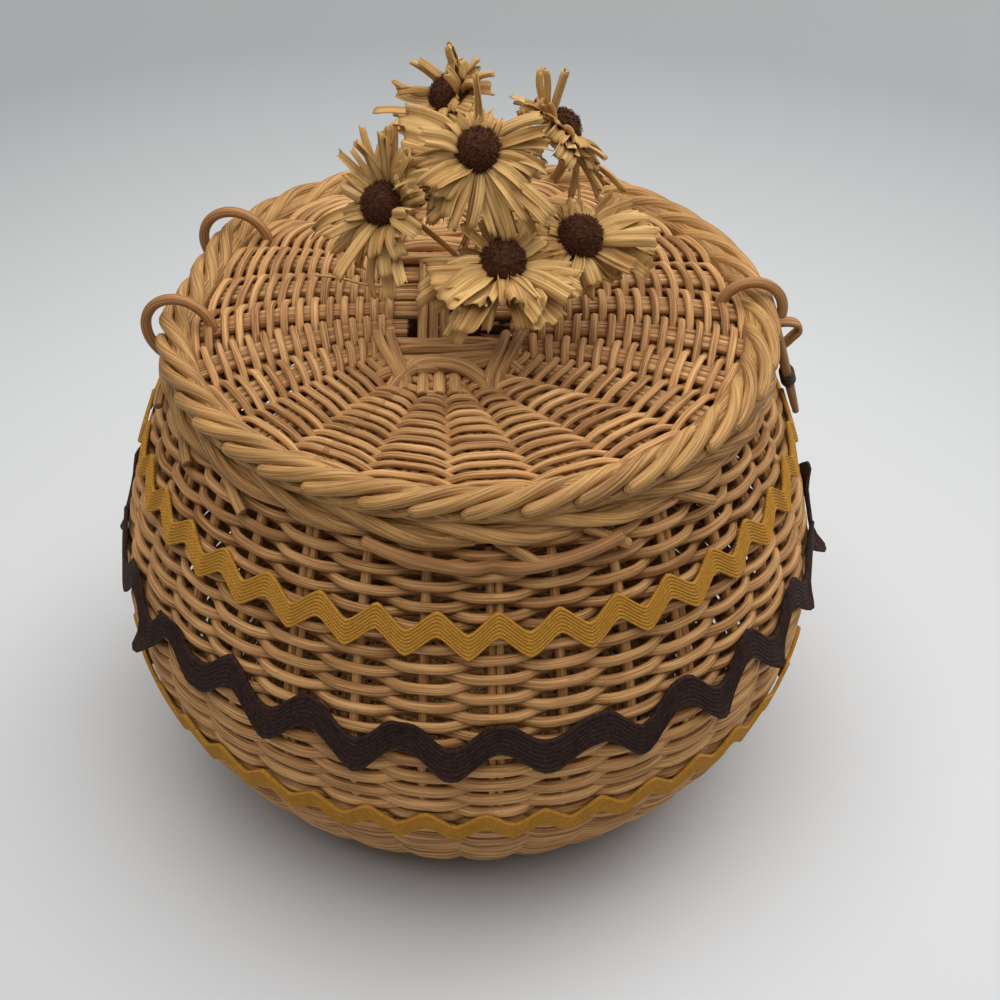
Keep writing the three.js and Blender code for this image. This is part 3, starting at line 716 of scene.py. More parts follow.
def row_heights(wall):
    """Height of each row: even along the slope in the lower and upper part, and one in the rim."""
    heights = []
    lower = (0, wall.close_top, wall.close_rows)
    upper = (wall.close_top, wall.wall_height, wall.open_rows)
    for low, high, rows in (lower, upper):
        fine = np.linspace(low, high, 400)
        radius = wall_radius(fine, wall)
        arc = np.concatenate([[0], np.cumsum(np.hypot(np.diff(fine), np.diff(radius)))])
        heights.append(np.interp((np.arange(rows) + 0.5) / rows * arc[-1], arc, fine))
    return np.concatenate(heights + [[wall.wall_height + HIDDEN_ROW]])


def lay_stakes(strands, wall):
    """The upright reeds: every third place holds a thinner pair."""
    high = RIM_Z - RIM_HALF
    height = np.linspace(STAKE_FOOT, high, 26)
    for index in range(wall.stakes):
        turn = wall.first_stake + index * TAU / wall.stakes
        lean = strands.random.normal(0, STAKE_LEAN)
        shares = (-0.5, 0.5) if index % 3 == 1 else (0.0,)
        thick = wall.stake_reed * (PAIR_REED if len(shares) > 1 else 1.0)
        for share in shares:
            aside = share * thick * PAIR_SPACING / wall_radius(height, wall)
            place = turn + lean * (height / high) + aside
            path = wall_points(place, height, -wall.wall_depth, wall)
            strands.reed(path, thick, up=ring(1.0, place, 0.0))


def lay_wall_rows(strands, wall):
    """The woven rows, over one stake and under the next: packed ones are thicker and swing less."""
    turn = evenly(wall.stakes * 8)
    phase = (turn - wall.first_stake) * wall.stakes / 2
    thinning = (wall.close_top, wall.close_top + THINNING)
    for row, height in enumerate(row_heights(wall)):
        uneven = OPEN_UNEVEN if row >= wall.close_rows else CLOSE_UNEVEN
        packed = np.interp(height, thinning, (PACKED, 1.0))
        level = height + round_trip(strands.random, turn, uneven, (2, 3, 5, 9, 16))
        swing = wall.weave_swing / packed**2
        swing = swing + round_trip(strands.random, turn, SWING_UNEVEN, (3, 7, 11))
        stand = swing * crossing_wave(phase + np.pi * row) - wall.wall_depth
        thick = wall.weaver * packed * strands.random.uniform(0.95, 1.06)
        path = wall_points(turn, level, stand, wall)
        path[:, 2] = np.maximum(path[:, 2], thick / 2)
        outward = ring(1.0, turn, 0.0)
        strands.reed(path, thick, closed=True, up=outward, flat=ROW_FLAT / packed**0.5)


class BASKET_OT_base(bpy.types.Operator):
    """Weaves the round base inside the foot of the wall"""

    bl_idname = "basket.base"
    bl_label = "Base"

    def execute(self, context):
        wall = context.scene.basket_wall
        strands = Strands(11)
        middle = 2.6 * MM
        swing = 1.2 * MM
        reed = 2.4 * MM
        row_step = 2.6 * MM
        inner, outer = 9 * MM, wall.base_radius - reed / 2
        spokes = wall.stakes // 2
        for index in range(spokes):
            path = ring(np.linspace(-outer, outer, 12), index * TAU / (2 * spokes), middle)
            strands.reed(path, reed, up=UP)
        turn = evenly(spokes * 16)
        for row, radius in enumerate(np.arange(inner, outer, row_step)):
            lift = swing * crossing_wave(spokes * turn + np.pi * row)
            strands.reed(ring(radius, turn, middle + lift), reed, closed=True, up=UP)
        strands.build("base_weave", "reed", "basket", "base_mat")
        return {"FINISHED"}


class BASKET_OT_wall(bpy.types.Operator):
    """Weaves the wall: upright stakes, packed rows below and open rows above"""

    bl_idname = "basket.wall"
    bl_label = "Wall"

    def execute(self, context):
        wall = context.scene.basket_wall
        strands = Strands(23)
        lay_stakes(strands, wall)
        lay_wall_rows(strands, wall)
        strands.build("wall_weave", "reed", "basket", "wall_lower", "wall_upper")
        return {"FINISHED"}


# Rolled borders

def rim_roll_path(turn):
    """Middle-line radius of the rim's border: round."""
    return np.full_like(turn, RIM_PATH)


def lid_roll_path(turn):
    """Middle-line radius of the lid's border: round, with a straight stretch at the hinges."""
    backward = np.maximum(-np.cos(turn), 1e-6)
    return np.minimum(LID_PATH, HINGE_REACH / backward)


def roll_points(turn, about, reach, path, height):
    """Points wound round a border: about is 0 outside, a quarter turn on top and half inside."""
    return ring(path + reach * np.cos(about), turn, height + reach * np.sin(about))


class Lay:
    """How one reed of a border lies: its places round the roll and how far it stands out of it.

    Each knot is a share of the reed's length, the place round the roll in degrees, and the
    distance from the roll's surface to the reed's middle in millimetres. The chance is the share
    of the groups that have this reed.
    """

    def __init__(self, sweep, thickness, flat, knots, ribs, chance):
        self.sweep = math.radians(sweep)
        self.thickness = thickness * MM
        self.flat = flat
        self.knots = np.array(knots).T
        self.ribs = ribs
        self.chance = chance

    def put(self, strands, start, half, path_of, height, tone):
        """Lays the reed from a start direction, with a rounded first end."""
        share = np.linspace(0, 1, 44)
        places, abouts, stands = self.knots
        about = np.radians(np.interp(share, places, abouts) + strands.random.normal(0, 2.5))
        stand = np.interp(share, places, stands) * MM
        about, stand = (softened(values, 3) for values in (about, stand))
        turn = start + self.sweep * share
        path = roll_points(turn, about, half + stand, path_of(turn), height)
        outward = ring(np.cos(about), turn, np.sin(about))
        thick = self.thickness * strands.random.uniform(0.92, 1.06)
        rounded = np.clip(lengths(path) / (0.6 * thick), 0.03, 1)
        radii = thick * np.sqrt(1 - (1 - rounded) ** 2)
        strands.reed(path, radii, 24, False, outward, self.flat, tone, self.ribs)


def softened(values, reach):
    """Values with their corners smoothed over a few neighbours."""
    window = np.ones(2 * reach + 1) / (2 * reach + 1)
    return np.convolve(np.pad(values, reach, mode="edge"), window, mode="valid")


# Thickness of the core inside a border, in half thicknesses of the border
CORE = 1.55


def wind_border(strands, groups, lays, half, path_of, height):
    """Winds groups of reeds round the core of a border, each reed of a group by its chance."""
    for group in range(groups):
        start = group * TAU / groups + strands.random.normal(0, 0.012)
        tone = strands.random.uniform(0, 0.95)
        for lay in lays:
            shade_of = min(1, max(0, tone + strands.random.normal(0, 0.2)))
            if strands.random.uniform() < lay.chance:
                lay.put(strands, start, half, path_of, height, shade_of)
    turn = evenly(128)
    core = ring(path_of(turn), turn, height)
    strands.reed(core, CORE * half, sides=10, closed=True, up=UP, tone=1.0)


# Rim: long reeds that come from inside and fall along the outside, and the cut ends below them
RIM_LONG = ((0, 200, -2.6), (0.3, 120, -1.2), (0.55, 66, -0.2), (0.8, 0, -0.2), (1, -54, -2.6))
RIM_STUB = ((0, -20, -2.0), (0.4, -38, 0.6), (1, -48, 5.6))
RIM_LAYS = (Lay(52, 4.0, 0.9, RIM_LONG, 9, 1.0), Lay(8, 3.1, 1.0, RIM_STUB, 7, 0.8))
RIM_GROUPS = 20

# Lid: reeds with a rounded head outside that rise over the top, and reeds that bend round below
LID_HEAD = ((0, -4, 0.9), (0.12, 8, 1.1), (0.34, 36, 0.3))
LID_RISE = LID_HEAD + ((0.54, 76, -1.2), (0.72, 126, -2.9), (1, 205, -3.4))
LID_DROP = ((0, 8, -3.2), (0.2, -26, -0.9), (0.5, -58, 0.2), (0.8, -30, -0.6), (1, 4, -3.2))
LID_LAYS = (Lay(29, 4.0, 0.95, LID_RISE, 9, 1.0), Lay(24, 3.6, 0.95, LID_DROP, 9, 1.0))

# Tucked reed, in degrees round the wall: its ends, its lowest place and the place where it dips in
TUCK_ENDS = (267, 312)
TUCK_LOWEST, TUCK_SPREAD = 292, 24
TUCK_DIP, TUCK_DIP_WIDE = 289.3, 2.6

# And in millimetres: its lowest height and its rise, how far it stands out and dips, its thickness
TUCK_HEIGHT, TUCK_RISE = 131.5, 4.5
TUCK_STAND, TUCK_DEPTH = 3.2, 3.6
TUCK_REED = 3.7


class BASKET_OT_rim(bpy.types.Operator):
    """Rolls the border on the rim of the wall, with its cut ends and the thick tucked reed"""

    bl_idname = "basket.rim"
    bl_label = "Rim border"

    def execute(self, context):
        wall = context.scene.basket_wall
        strands = Strands(37)
        wind_border(strands, RIM_GROUPS, RIM_LAYS, RIM_HALF, rim_roll_path, RIM_Z)
        strands.build("rim_weave", "pale_reed", "basket", "rim_border")
        tucked = Strands(41)
        turn = np.radians(np.linspace(*TUCK_ENDS, 40))
        across = (turn - np.radians(TUCK_LOWEST)) / np.radians(TUCK_SPREAD)
        height = (TUCK_HEIGHT + TUCK_RISE * across**2) * MM
        dip = np.exp(-(((np.degrees(turn) - TUCK_DIP) / TUCK_DIP_WIDE) ** 2))
        stand = (TUCK_STAND - TUCK_DEPTH * dip) * MM
        tucked.reed(wall_points(turn, height, stand, wall), TUCK_REED * MM, sides=12)
        tucked.build("tuck_reed", "brown_reed", "basket", "rim_tuck_reed")
        return {"FINISHED"}


class BASKET_OT_lid_border(bpy.types.Operator):
    """Plaits the border round the lid"""

    bl_idname = "basket.lid_border"
    bl_label = "Lid border"

    def execute(self, context):
        lid = context.scene.basket_lid
        strands = Strands(43)
        wind_border(strands, lid.border_groups, LID_LAYS, LID_HALF, lid_roll_path, LID_Z)
        strands.build("lid_plait", "pale_reed", "lid", "lid_border")
        return {"FINISHED"}


# Trims

# Where the waves start, how pointed the gold ones are, how uneven a trim lies, and how thick its
# tape and the cords on it are
TRIM_START = math.radians(20)
POINTED = 0.93
TRIM_UNEVEN = 1.2 * MM
TAPE_THICK, CORD_THICK = 0.7 * MM, 0.45 * MM


def rickrack(strands, wall, trims, middle, off, swing, band, wave_length, pointed, lift, differ):
    """A wavy braided band round the wall: cords side by side on one wave, with lifted tips."""
    around = TAU * float(wall_radius(middle, wall))
    waves = round(around / wave_length)
    turn = evenly(waves * 14)
    phase = turn * waves

    def by_crest(values):
        """Values that go from one crest or dip of the wave to the next."""
        return np.interp(phase / np.pi, np.arange(2 * waves + 1), np.append(values, values[0]))

    wave = np.cos(phase)
    if pointed:
        wave = np.arcsin(POINTED * wave) / np.arcsin(POINTED)
    across = np.linspace(-0.5, 0.5, trims.cords * 4 + 1)
    ridge = np.abs(np.sin(np.pi * trims.cords * (across + 0.5)))
    uneven = round_trip(strands.random, turn, TRIM_UNEVEN, (2, 3, 5))
    wave = wave * by_crest(strands.random.uniform(1 - differ, 1 + differ / 2, 2 * waves))
    height = middle + uneven[:, None] + swing * wave[:, None] + band * across
    tip = by_crest(strands.random.uniform(0, lift, 2 * waves))
    stand = off + tip[:, None] * np.clip(wave[:, None] * 2 * across, 0, 1) ** 2
    spread = turn[:, None] + TRIM_START
    top = wall_points(spread, height, stand + (TAPE_THICK + CORD_THICK * ridge), wall)
    bottom = wall_points(spread, height, stand, wall)
    along = (turn * around / TAU)[:, None]
    grain = np.stack(np.broadcast_arrays(along, band * across, CORD_RIDGE * ridge), axis=-1)
    strands.strip(top, bottom, grain, closed=True)


class BASKET_OT_trims(bpy.types.Operator):
    """Lays the three wavy trims round the wall"""

    bl_idname = "basket.trims"
    bl_label = "Trims"

    def execute(self, context):
        wall = context.scene.basket_wall
        trims = context.scene.basket_trims
        gold = (trims.gold_swing, trims.gold_band, trims.gold_wave, True, 0.3 * MM, 0.12)
        brown = (trims.brown_swing, trims.brown_band, trims.brown_wave, False, 4.5 * MM, 0.5)
        rows = (
            ("gold_upper", trims.gold_upper, 1.1 * MM, gold, "gold_trim", 51),
            ("brown", trims.brown_height, 0.7 * MM, brown, "brown_trim", 53),
            ("gold_lower", trims.gold_lower, 0.3 * MM, gold, "gold_trim", 59),
        )
        for name, middle, off, shape, slot, seed in rows:
            strands = Strands(seed)
            rickrack(strands, wall, trims, middle, off, *shape)
            strands.build(f"trim_{name}", slot, "basket", f"rickrack_{name}")
        return {"FINISHED"}


# Hinges and clasp

class BASKET_OT_hinges(bpy.types.Operator):
    """Bends the two reed rings that join the lid and the rim"""

    bl_idname = "basket.hinges"
    bl_label = "Hinge rings"

    def execute(self, context):
        for place in ("front", "rear"):
            node = f"hinge_ring_{place}"
            low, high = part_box(node)
            middle = np.array((low + high) / 2)
            reed = high.y - low.y
            radius = (high.z - low.z - reed) / 2
            turn = evenly(64)
            path = middle + radius * np.stack([np.cos(turn), 0 * turn, np.sin(turn)], axis=-1)
            strands = Strands(61)
            strands.reed(path, reed * 1.12, sides=14, closed=True, up=(0, 1, 0))
            strands.build(f"ring_{place}", "brown_reed", "basket", node)
        return {"FINISHED"}


# Hasp: its reed in the legs and in the bend, how far its tips stand out from the solid's and hang
# below them, and the turns, thread and width of its dark band
HASP_REED, HASP_BEND = 2.8 * MM, 2.2 * MM
HASP_OUT, HASP_BELOW = 2.4 * MM, 4 * MM
BAND_TURNS, BAND_THREAD, BAND_WIDTH = 5, 0.9 * MM, 3.4 * MM


class BASKET_OT_clasp(bpy.types.Operator):
    """Bends the clasp: eye, hanging hasp with its dark band, and the cane catch loop"""

    bl_idname = "basket.clasp"
    bl_label = "Clasp"

    def execute(self, context):
        out = ring(1.0, CLASP_TURN, 0.0)
        reed = 3.2 * MM
        middle = out * LID_PATH + UP * LID_Z
        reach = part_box("clasp_eye")[1].z - LID_Z - reed / 2
        about = np.radians(np.linspace(192, -14, 40))
        path = middle + reach * (np.cos(about)[:, None] * out + np.sin(about)[:, None] * UP)
        strands = Strands(71)
        strands.reed(path, reed, sides=14, up=HASP_AXIS)
        strands.build("eye", "brown_reed", "lid", "clasp_eye")
        self.hasp(out)
        self.catch(out)
        return {"FINISHED"}

    def hasp(self, out):
        """The folded reed and the thread round its two legs."""
        corners = corners_of("clasp_hasp")
        foot = corners[corners[:, 2] < corners[:, 2].min() + 1.5 * MM].mean(axis=0)
        foot = foot + HASP_AXIS * np.dot(HASP_PIVOT - foot, HASP_AXIS)
        foot = foot + out * HASP_OUT - UP * HASP_BELOW
        down = unit(foot - HASP_PIVOT)
        reach = np.linalg.norm(foot - HASP_PIVOT)
        spread = np.dot(corners - HASP_PIVOT, HASP_AXIS)
        half = (spread.max() - spread.min() - HASP_BEND) / 2
        bow = np.dot(corners - HASP_PIVOT, -down).max() - HASP_BEND / 2
        turn = np.linspace(0, np.pi, 16)
        arch = np.stack([half * np.cos(turn), bow * np.sin(turn)], axis=-1)
        leg = np.linspace(0, 1, 22)[1:]
        close = half + (HASP_REED * 0.5 - half) * np.clip(leg / 0.55, 0, 1) ** 1.5
        left = np.stack([-close, -reach * leg], axis=-1)
        right = np.stack([close, -reach * leg], axis=-1)[::-1]
        flat = np.concatenate([right, arch, left])
        path = HASP_PIVOT + flat[:, :1] * HASP_AXIS - flat[:, 1:] * down
        across = np.cross(HASP_AXIS, down)
        strands = Strands(73)
        places = np.array([-1.0, -0.72, -0.45, -0.15]) * reach
        reeds = (0.7 * HASP_REED, HASP_REED, HASP_REED, HASP_BEND)
        strands.reed(path, np.interp(flat[:, 1], places, reeds), sides=12, up=across)
        strands.build("hasp", "brown_reed", "hasp", "clasp_hasp")
        low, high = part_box("hasp_binding")
        middle = np.array((low + high) / 2)
        middle = HASP_PIVOT + down * np.dot(middle - HASP_PIVOT, down)
        turn = np.linspace(0, BAND_TURNS * TAU, 24 * BAND_TURNS)
        wide, deep = HASP_REED + BAND_THREAD / 2, HASP_REED / 2 + BAND_THREAD / 2
        rise = (turn / turn[-1] - 0.5) * BAND_WIDTH
        coil = (
            middle
            + wide * np.cos(turn)[:, None] * HASP_AXIS
            + deep * np.sin(turn)[:, None] * across
            + rise[:, None] * down
        )
        band = Strands(79)
        band.reed(coil, BAND_THREAD)
        band.build("hasp_thread", "dark_band", "hasp", "hasp_binding")

    def catch(self, out):
        """The flat cane loop on the wall beside the hasp."""
        low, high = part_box("catch_loop")
        corners = corners_of("catch_loop")
        side = np.cross(UP, out)
        aside = corners @ side
        middle = (aside.max() + aside.min()) / 2
        wide = aside.max() - aside.min()
        tip = (corners @ out).max()
        root = (corners @ out).min()
        thick = 1.1 * MM
        crest = high.z - thick / 2
        rows = (
            (root + 1 * MM, crest - 1.5 * MM),
            ((root + tip) / 2, crest - 0.2 * MM),
            (tip - 1.6 * MM, crest - 1.0 * MM),
            (tip - thick / 2, high.z - 3.6 * MM),
            (tip - 2.6 * MM, high.z - 6.2 * MM),
            ((root + tip) / 2 + 1 * MM, (low.z + high.z) / 2 - 1 * MM),
            (root + 1 * MM, low.z + 1.5 * MM),
        )
        spine = smooth_path([out * reach + UP * rise for reach, rise in rows], 8)
        spine = spine + side * middle
        normal = np.cross(directions(spine, False), side)
        across = np.linspace(-0.5, 0.5, 5)
        bulge = 0.25 * MM * (1 - 4 * across**2)
        sheet = spine[:, None] + side * (across * wide * 0.96)[None, :, None]
        top = sheet + normal[:, None] * (thick / 2 + bulge)[None, :, None]
        bottom = sheet - normal[:, None] * (thick / 2)
        grain = np.broadcast_arrays(lengths(spine)[:, None], across * wide, 0.0)
        strands = Strands(83)
        strands.strip(bottom, top, np.stack(grain, axis=-1))
        strands.build("catch", "brown_reed", "basket", "catch_loop")


# Lid

def panel_height(radius, lid):
    """Height of the middle of the lid's weave at a distance from the axis."""
    past = np.maximum(0, radius - lid.flat_radius) / (lid.panel_radius - lid.flat_radius)
    return lid.lid_top - lid.dome * past**2 - lid.panel_depth


def lid_points(flat, lift, lid):
    """Points of the lid's weave from plan places in the starting cross's own directions."""
    x, y = plan_turned(flat, lid.hub_turn)
    radius = np.hypot(x, y)
    turn = np.arctan2(y, x)
    drawn = 1 + (lid_roll_path(turn) / LID_PATH - 1) * (radius / lid.panel_radius) ** 2
    return np.stack([x * drawn, y * drawn, panel_height(radius, lid) + lift], axis=-1)


# Each fan of spokes: first and last direction at the border, how many, and its line on the cross
SPOKE_FANS = (
    (240.5, 309.5, 5, (-11.0, -35.0), (2.0, -35.0)),
    (325.0, 403.0, 7, (12.0, -27.0), (12.0, 27.0)),
    (419.0, 486.0, 5, (2.0, 35.0), (-11.0, 35.0)),
    (502.0, 584.5, 7, (-21.0, 27.0), (-21.0, -27.0)),
)


def spoke_lines(lid):
    """Inner and outer end of every spoke in plan, in order round the lid."""
    lines = []
    for first, last, count, start, end in SPOKE_FANS:
        for share in np.linspace(0, 1, count):
            turn = math.radians(first + (last - first) * share)
            inner = np.array(start) + (np.array(end) - np.array(start)) * share
            outer = np.array([math.cos(turn), math.sin(turn)]) * lid.panel_radius
            lines.append((inner * MM, outer))
    return lines


# Share of a spoke's line at which it ends, inside the border
SPOKE_END = 1.09


def lay_spokes(strands, lid, lines):
    """The lid's spokes: threes of reeds at its sides and pairs at its ends."""
    share = np.linspace(0, SPOKE_END, 12)[:, None]
    for inner, outer in lines:
        across = unit(np.array([inner[1] - outer[1], outer[0] - inner[0]]))
        sides = (-1.0, 0.0, 1.0) if abs(outer[0]) > abs(outer[1]) else (-0.5, 0.5)
        for side in sides:
            aside = across * side * lid.spoke * (0.6 + 0.45 * share)
            path = lid_points(inner + (outer - inner) * share + aside, 0.0, lid)
            strands.reed(path, lid.spoke, up=UP)


def closed_curve(points, steps):
    """A smooth closed curve through the given points, with steps pieces between neighbours."""
    count = len(points)
    around = np.concatenate([points[-2:], points, points[:3]])
    return smooth_path(around, steps)[2 * steps : (2 + count) * steps]


# Rows of the lid that lie inside its border
HIDDEN_ROWS = 2


def lay_lid_rows(strands, lid, lines):
    """The rows of the lid, over one spoke and under the next, the last ones inside the border."""
    steps = 10
    index = np.arange(len(lines) * steps) / steps
    turn = index * TAU / len(lines)
    for row in range(lid.rows + HIDDEN_ROWS):
        share = (row + 0.5) / lid.rows
        crossings = np.array([inner + (outer - inner) * share for inner, outer in lines])
        flat = closed_curve(crossings, steps)
        flat = flat * (1 + round_trip(strands.random, turn, 0.008, (2, 3, 5, 9)))[:, None]
        swing = lid.weave_swing + round_trip(strands.random, turn, 0.3 * MM, (3, 5, 8))
        lift = swing * crossing_wave(np.pi * (index + row))
        thick = lid.weaver * strands.random.uniform(0.9, 1.04)
        path = lid_points(flat, lift, lid)
        strands.reed(path, thick, closed=True, up=UP, flat=0.8)


class BASKET_OT_lid(bpy.types.Operator):
    """Weaves the lid's panel: spokes from the starting cross and rows over and under them"""

    bl_idname = "basket.lid"
    bl_label = "Lid panel"

    def execute(self, context):
        lid = context.scene.basket_lid
        strands = Strands(97)
        lines = spoke_lines(lid)
        lay_spokes(strands, lid, lines)
        lay_lid_rows(strands, lid, lines)
        strands.build("lid_weave", "reed", "lid", "lid_panel")
        return {"FINISHED"}


# Starting cross, in millimetres in its own directions. Each point is a place across the cross, a
# place towards its end, and a lift above the panel, less the depth to which the reeds are seated.
SIDE_SPOKES = (-27.0, -18.0, -9.0, 0.0, 9.0, 18.0, 27.0)
SHORT_SPOKES = (-18.0, -9.0)
SPOKE_SIDES = (-2.4, 0.0, 2.4)
BUNDLE_WAVES = (-0.4, 0.9, 0.1, 0.8)
BUNDLE_TONES = (0.1, 0.6, 0.0, 0.4)
BINDINGS = ((-24.7, -18.0), (-21.4, -16.5), (10.3, 5.4), (14.1, 8.0))
ARCH = (
    (-21.0, 41.0, -2.0),
    (-18.0, 38.0, 1.0),
    (-12.0, 34.4, 2.4),
    (-4.0, 35.2, 2.6),
    (2.0, 38.4, 1.6),
    (6.5, 42.5, -2.0),
)
ARCH_STEPS = (0.0, 2.9)
STUBS = (-12.0, -7.8, -3.5)
LONG_STICKS = (-12.5, -9.5, -6.5)
SPOKE_REED, BINDING_REED, BUNDLE_REED = 2.5, 2.9, 3.4
SEAT = 0.4


class BASKET_OT_hub(bpy.types.Operator):
    """Lays the starting cross in the middle of the lid"""

    bl_idname = "basket.hub"
    bl_label = "Starting cross"

    def execute(self, context):
        lid = context.scene.basket_lid
        strands = Strands(101)
        self.crossing(strands, lid)
        for end in (-1, 1):
            self.bundle(strands, lid, end)
        level = np.linspace(-24, 40, 50)
        for place in LONG_STICKS:
            path = np.stack([0 * level + place, level, 0.8 - 0.0012 * level**2], axis=-1)
            # The long sticks take a dark tone, 0.95: painted shade for the shadow that the flowers
            # cast on them.
            self.lay(strands, lid, path, BINDING_REED, 0.95)
        nodes = ("hub_long_sticks", "hub_cross_front", "hub_cross_rear")
        strands.build("hub_weave", "reed", "lid", *nodes)
        return {"FINISHED"}

    def lay(self, strands, lid, points, thickness, tone=None, end=1):
        """One reed through points of the cross, at its rear end or mirrored to its front end."""
        points = np.asarray(points, float) * (1, end, 1)
        curve = smooth_path(points, 7) if len(points) < 12 else points
        path = lid_points(curve[:, :2] * MM, lid.panel_depth + (curve[:, 2] - SEAT) * MM, lid)
        strands.reed(path, thickness * MM, sides=10, tone=tone)

    def crossing(self, strands, lid):
        """The side spokes run on under the cross, apart from two that stop short."""
        for level in SIDE_SPOKES:
            reach = -17.0 if level in SHORT_SPOKES else 14.0
            for side in SPOKE_SIDES:
                points = [(x, level + side, -2.6) for x in np.linspace(-24.0, reach, 4)]
                self.lay(strands, lid, points, SPOKE_REED)

    def bundle(self, strands, lid, end):
        """One end of the cross: the bundle, its bindings, the double arch and three stubs."""
        for index, (wave, tone) in enumerate(zip(BUNDLE_WAVES, BUNDLE_TONES)):
            left, right = 21.5 + 4.3 * index, 21.5 + 3.0 * index
            points = (
                (-25.0, left, -1.8),
                (-20.5, left, 0.9),
                (-11.0, left + 0.3, 1.3 + wave),
                (0.0, (left + right) / 2, 1.3),
                (9.0, right, 0.9 + wave),
                (14.0, right, -1.8),
            )
            self.lay(strands, lid, points, BUNDLE_REED, tone, end)
        for top, foot in BINDINGS:
            points = (
                (top, 14.5, -1.5),
                (top, 18.5, 1.6),
                (0.75 * top + 0.25 * foot, 27.0, 3.6),
                (0.3 * top + 0.7 * foot, 34.0, 2.8),
                (foot, 38.0, 0.8),
                (foot, 41.0, -2.0),
            )
            self.lay(strands, lid, points, BINDING_REED, end=end)
        for step in ARCH_STEPS:
            points = np.subtract(ARCH, (0.0, step, 0.0))
            self.lay(strands, lid, points, BINDING_REED, end=end)
        for place in STUBS:
            points = ((place, 35.0, -0.4), (place, 39.0, 0.6), (place, 43.5, 0.0))
            self.lay(strands, lid, points, BUNDLE_REED, 0.0, end)


# Flowers

# Direction in which each flower faces: azimuth and elevation in degrees
FACINGS = {
    "right_back": (35, 45),
    "back": (215, 45),
    "left": (240, 40),
    "front": (283, 50),
    "low_front": (295, 55),
    "low_right": (315, 55),
}


def head_of(name):
    """Middle of a flower's face and the direction it faces, from the frame."""
    azimuth, elevation = (math.radians(angle) for angle in FACINGS[name])
    face = ring(math.cos(elevation), azimuth, math.sin(elevation))
    corners = corners_of(f"flower_{name}_centre")
    depth = corners @ face
    seat = corners[depth < depth.min() + 0.1 * MM]
    return (seat.max(axis=0) + seat.min(axis=0)) / 2, face


def face_axes(face):
    """Sideways and upward directions in the plane of a flower's face."""
    side = unit(np.cross(UP, face))
    return side, np.cross(face, side)


# Petals: how far from the middle they start, how thick they are, and the width above which they
# have two pleats
PETAL_ROOT = 3.4 * MM
HUSK_THICK = 0.3 * MM
WIDE_HUSK = 5 * MM


def lay_petal(strands, root, out, face, size, wide, rise, bend, curl):
    """One husk strip with a squared end: it rises from its root, bends, and curls across."""
    rows, columns = 12, 9
    random = strands.random
    along = np.linspace(0, 1, rows)
    across = np.linspace(-0.5, 0.5, columns)
    side = np.cross(face, out)
    kinks = np.sin(TAU * random.uniform(0.7, 1.4) * along + random.uniform(0, TAU))
    angle = rise + bend * along**1.4 + random.uniform(0.05, 0.3) * kinks * along
    forward = np.cos(angle)[:, None] * out + np.sin(angle)[:, None] * face
    steps = forward[:-1] * size / (rows - 1)
    spine = root + np.concatenate([[np.zeros(3)], np.cumsum(steps, axis=0)])
    spine = spine + (random.normal(0, 0.13) * size * along**2)[:, None] * side
    normal = np.cos(angle)[:, None] * face - np.sin(angle)[:, None] * out
    width = wide * (0.4 + 0.6 * np.clip(along / 0.45, 0, 1) ** 0.8)[:, None]
    opening = np.maximum(np.abs(curl) * (0.5 + 0.5 * along), 1e-3)[:, None]
    level = width / opening * np.sin(opening * across)
    cup = width / opening * (1 - np.cos(opening * across)) * np.sign(curl)
    pleats = 2.0 if wide > WIDE_HUSK else 1.0
    pleat = np.cos(TAU * pleats * across[None, :] + random.uniform(0, TAU))
    cup = cup + 0.13 * width * pleat * (0.3 + 0.7 * along[:, None])
    slant = random.normal(0, 0.25) * across * wide + random.normal(0, 0.35, columns) * MM
    top = spine[:, None] + level[..., None] * side + cup[..., None] * normal[:, None]
    top = top + (slant[None, :] * along[:, None] ** 3)[..., None] * forward[:, None]
    bottom = top - HUSK_THICK * normal[:, None]
    grain = np.broadcast_arrays((along * size)[:, None], across * wide, 0.0)
    strands.strip(top, bottom, np.stack(grain, axis=-1))


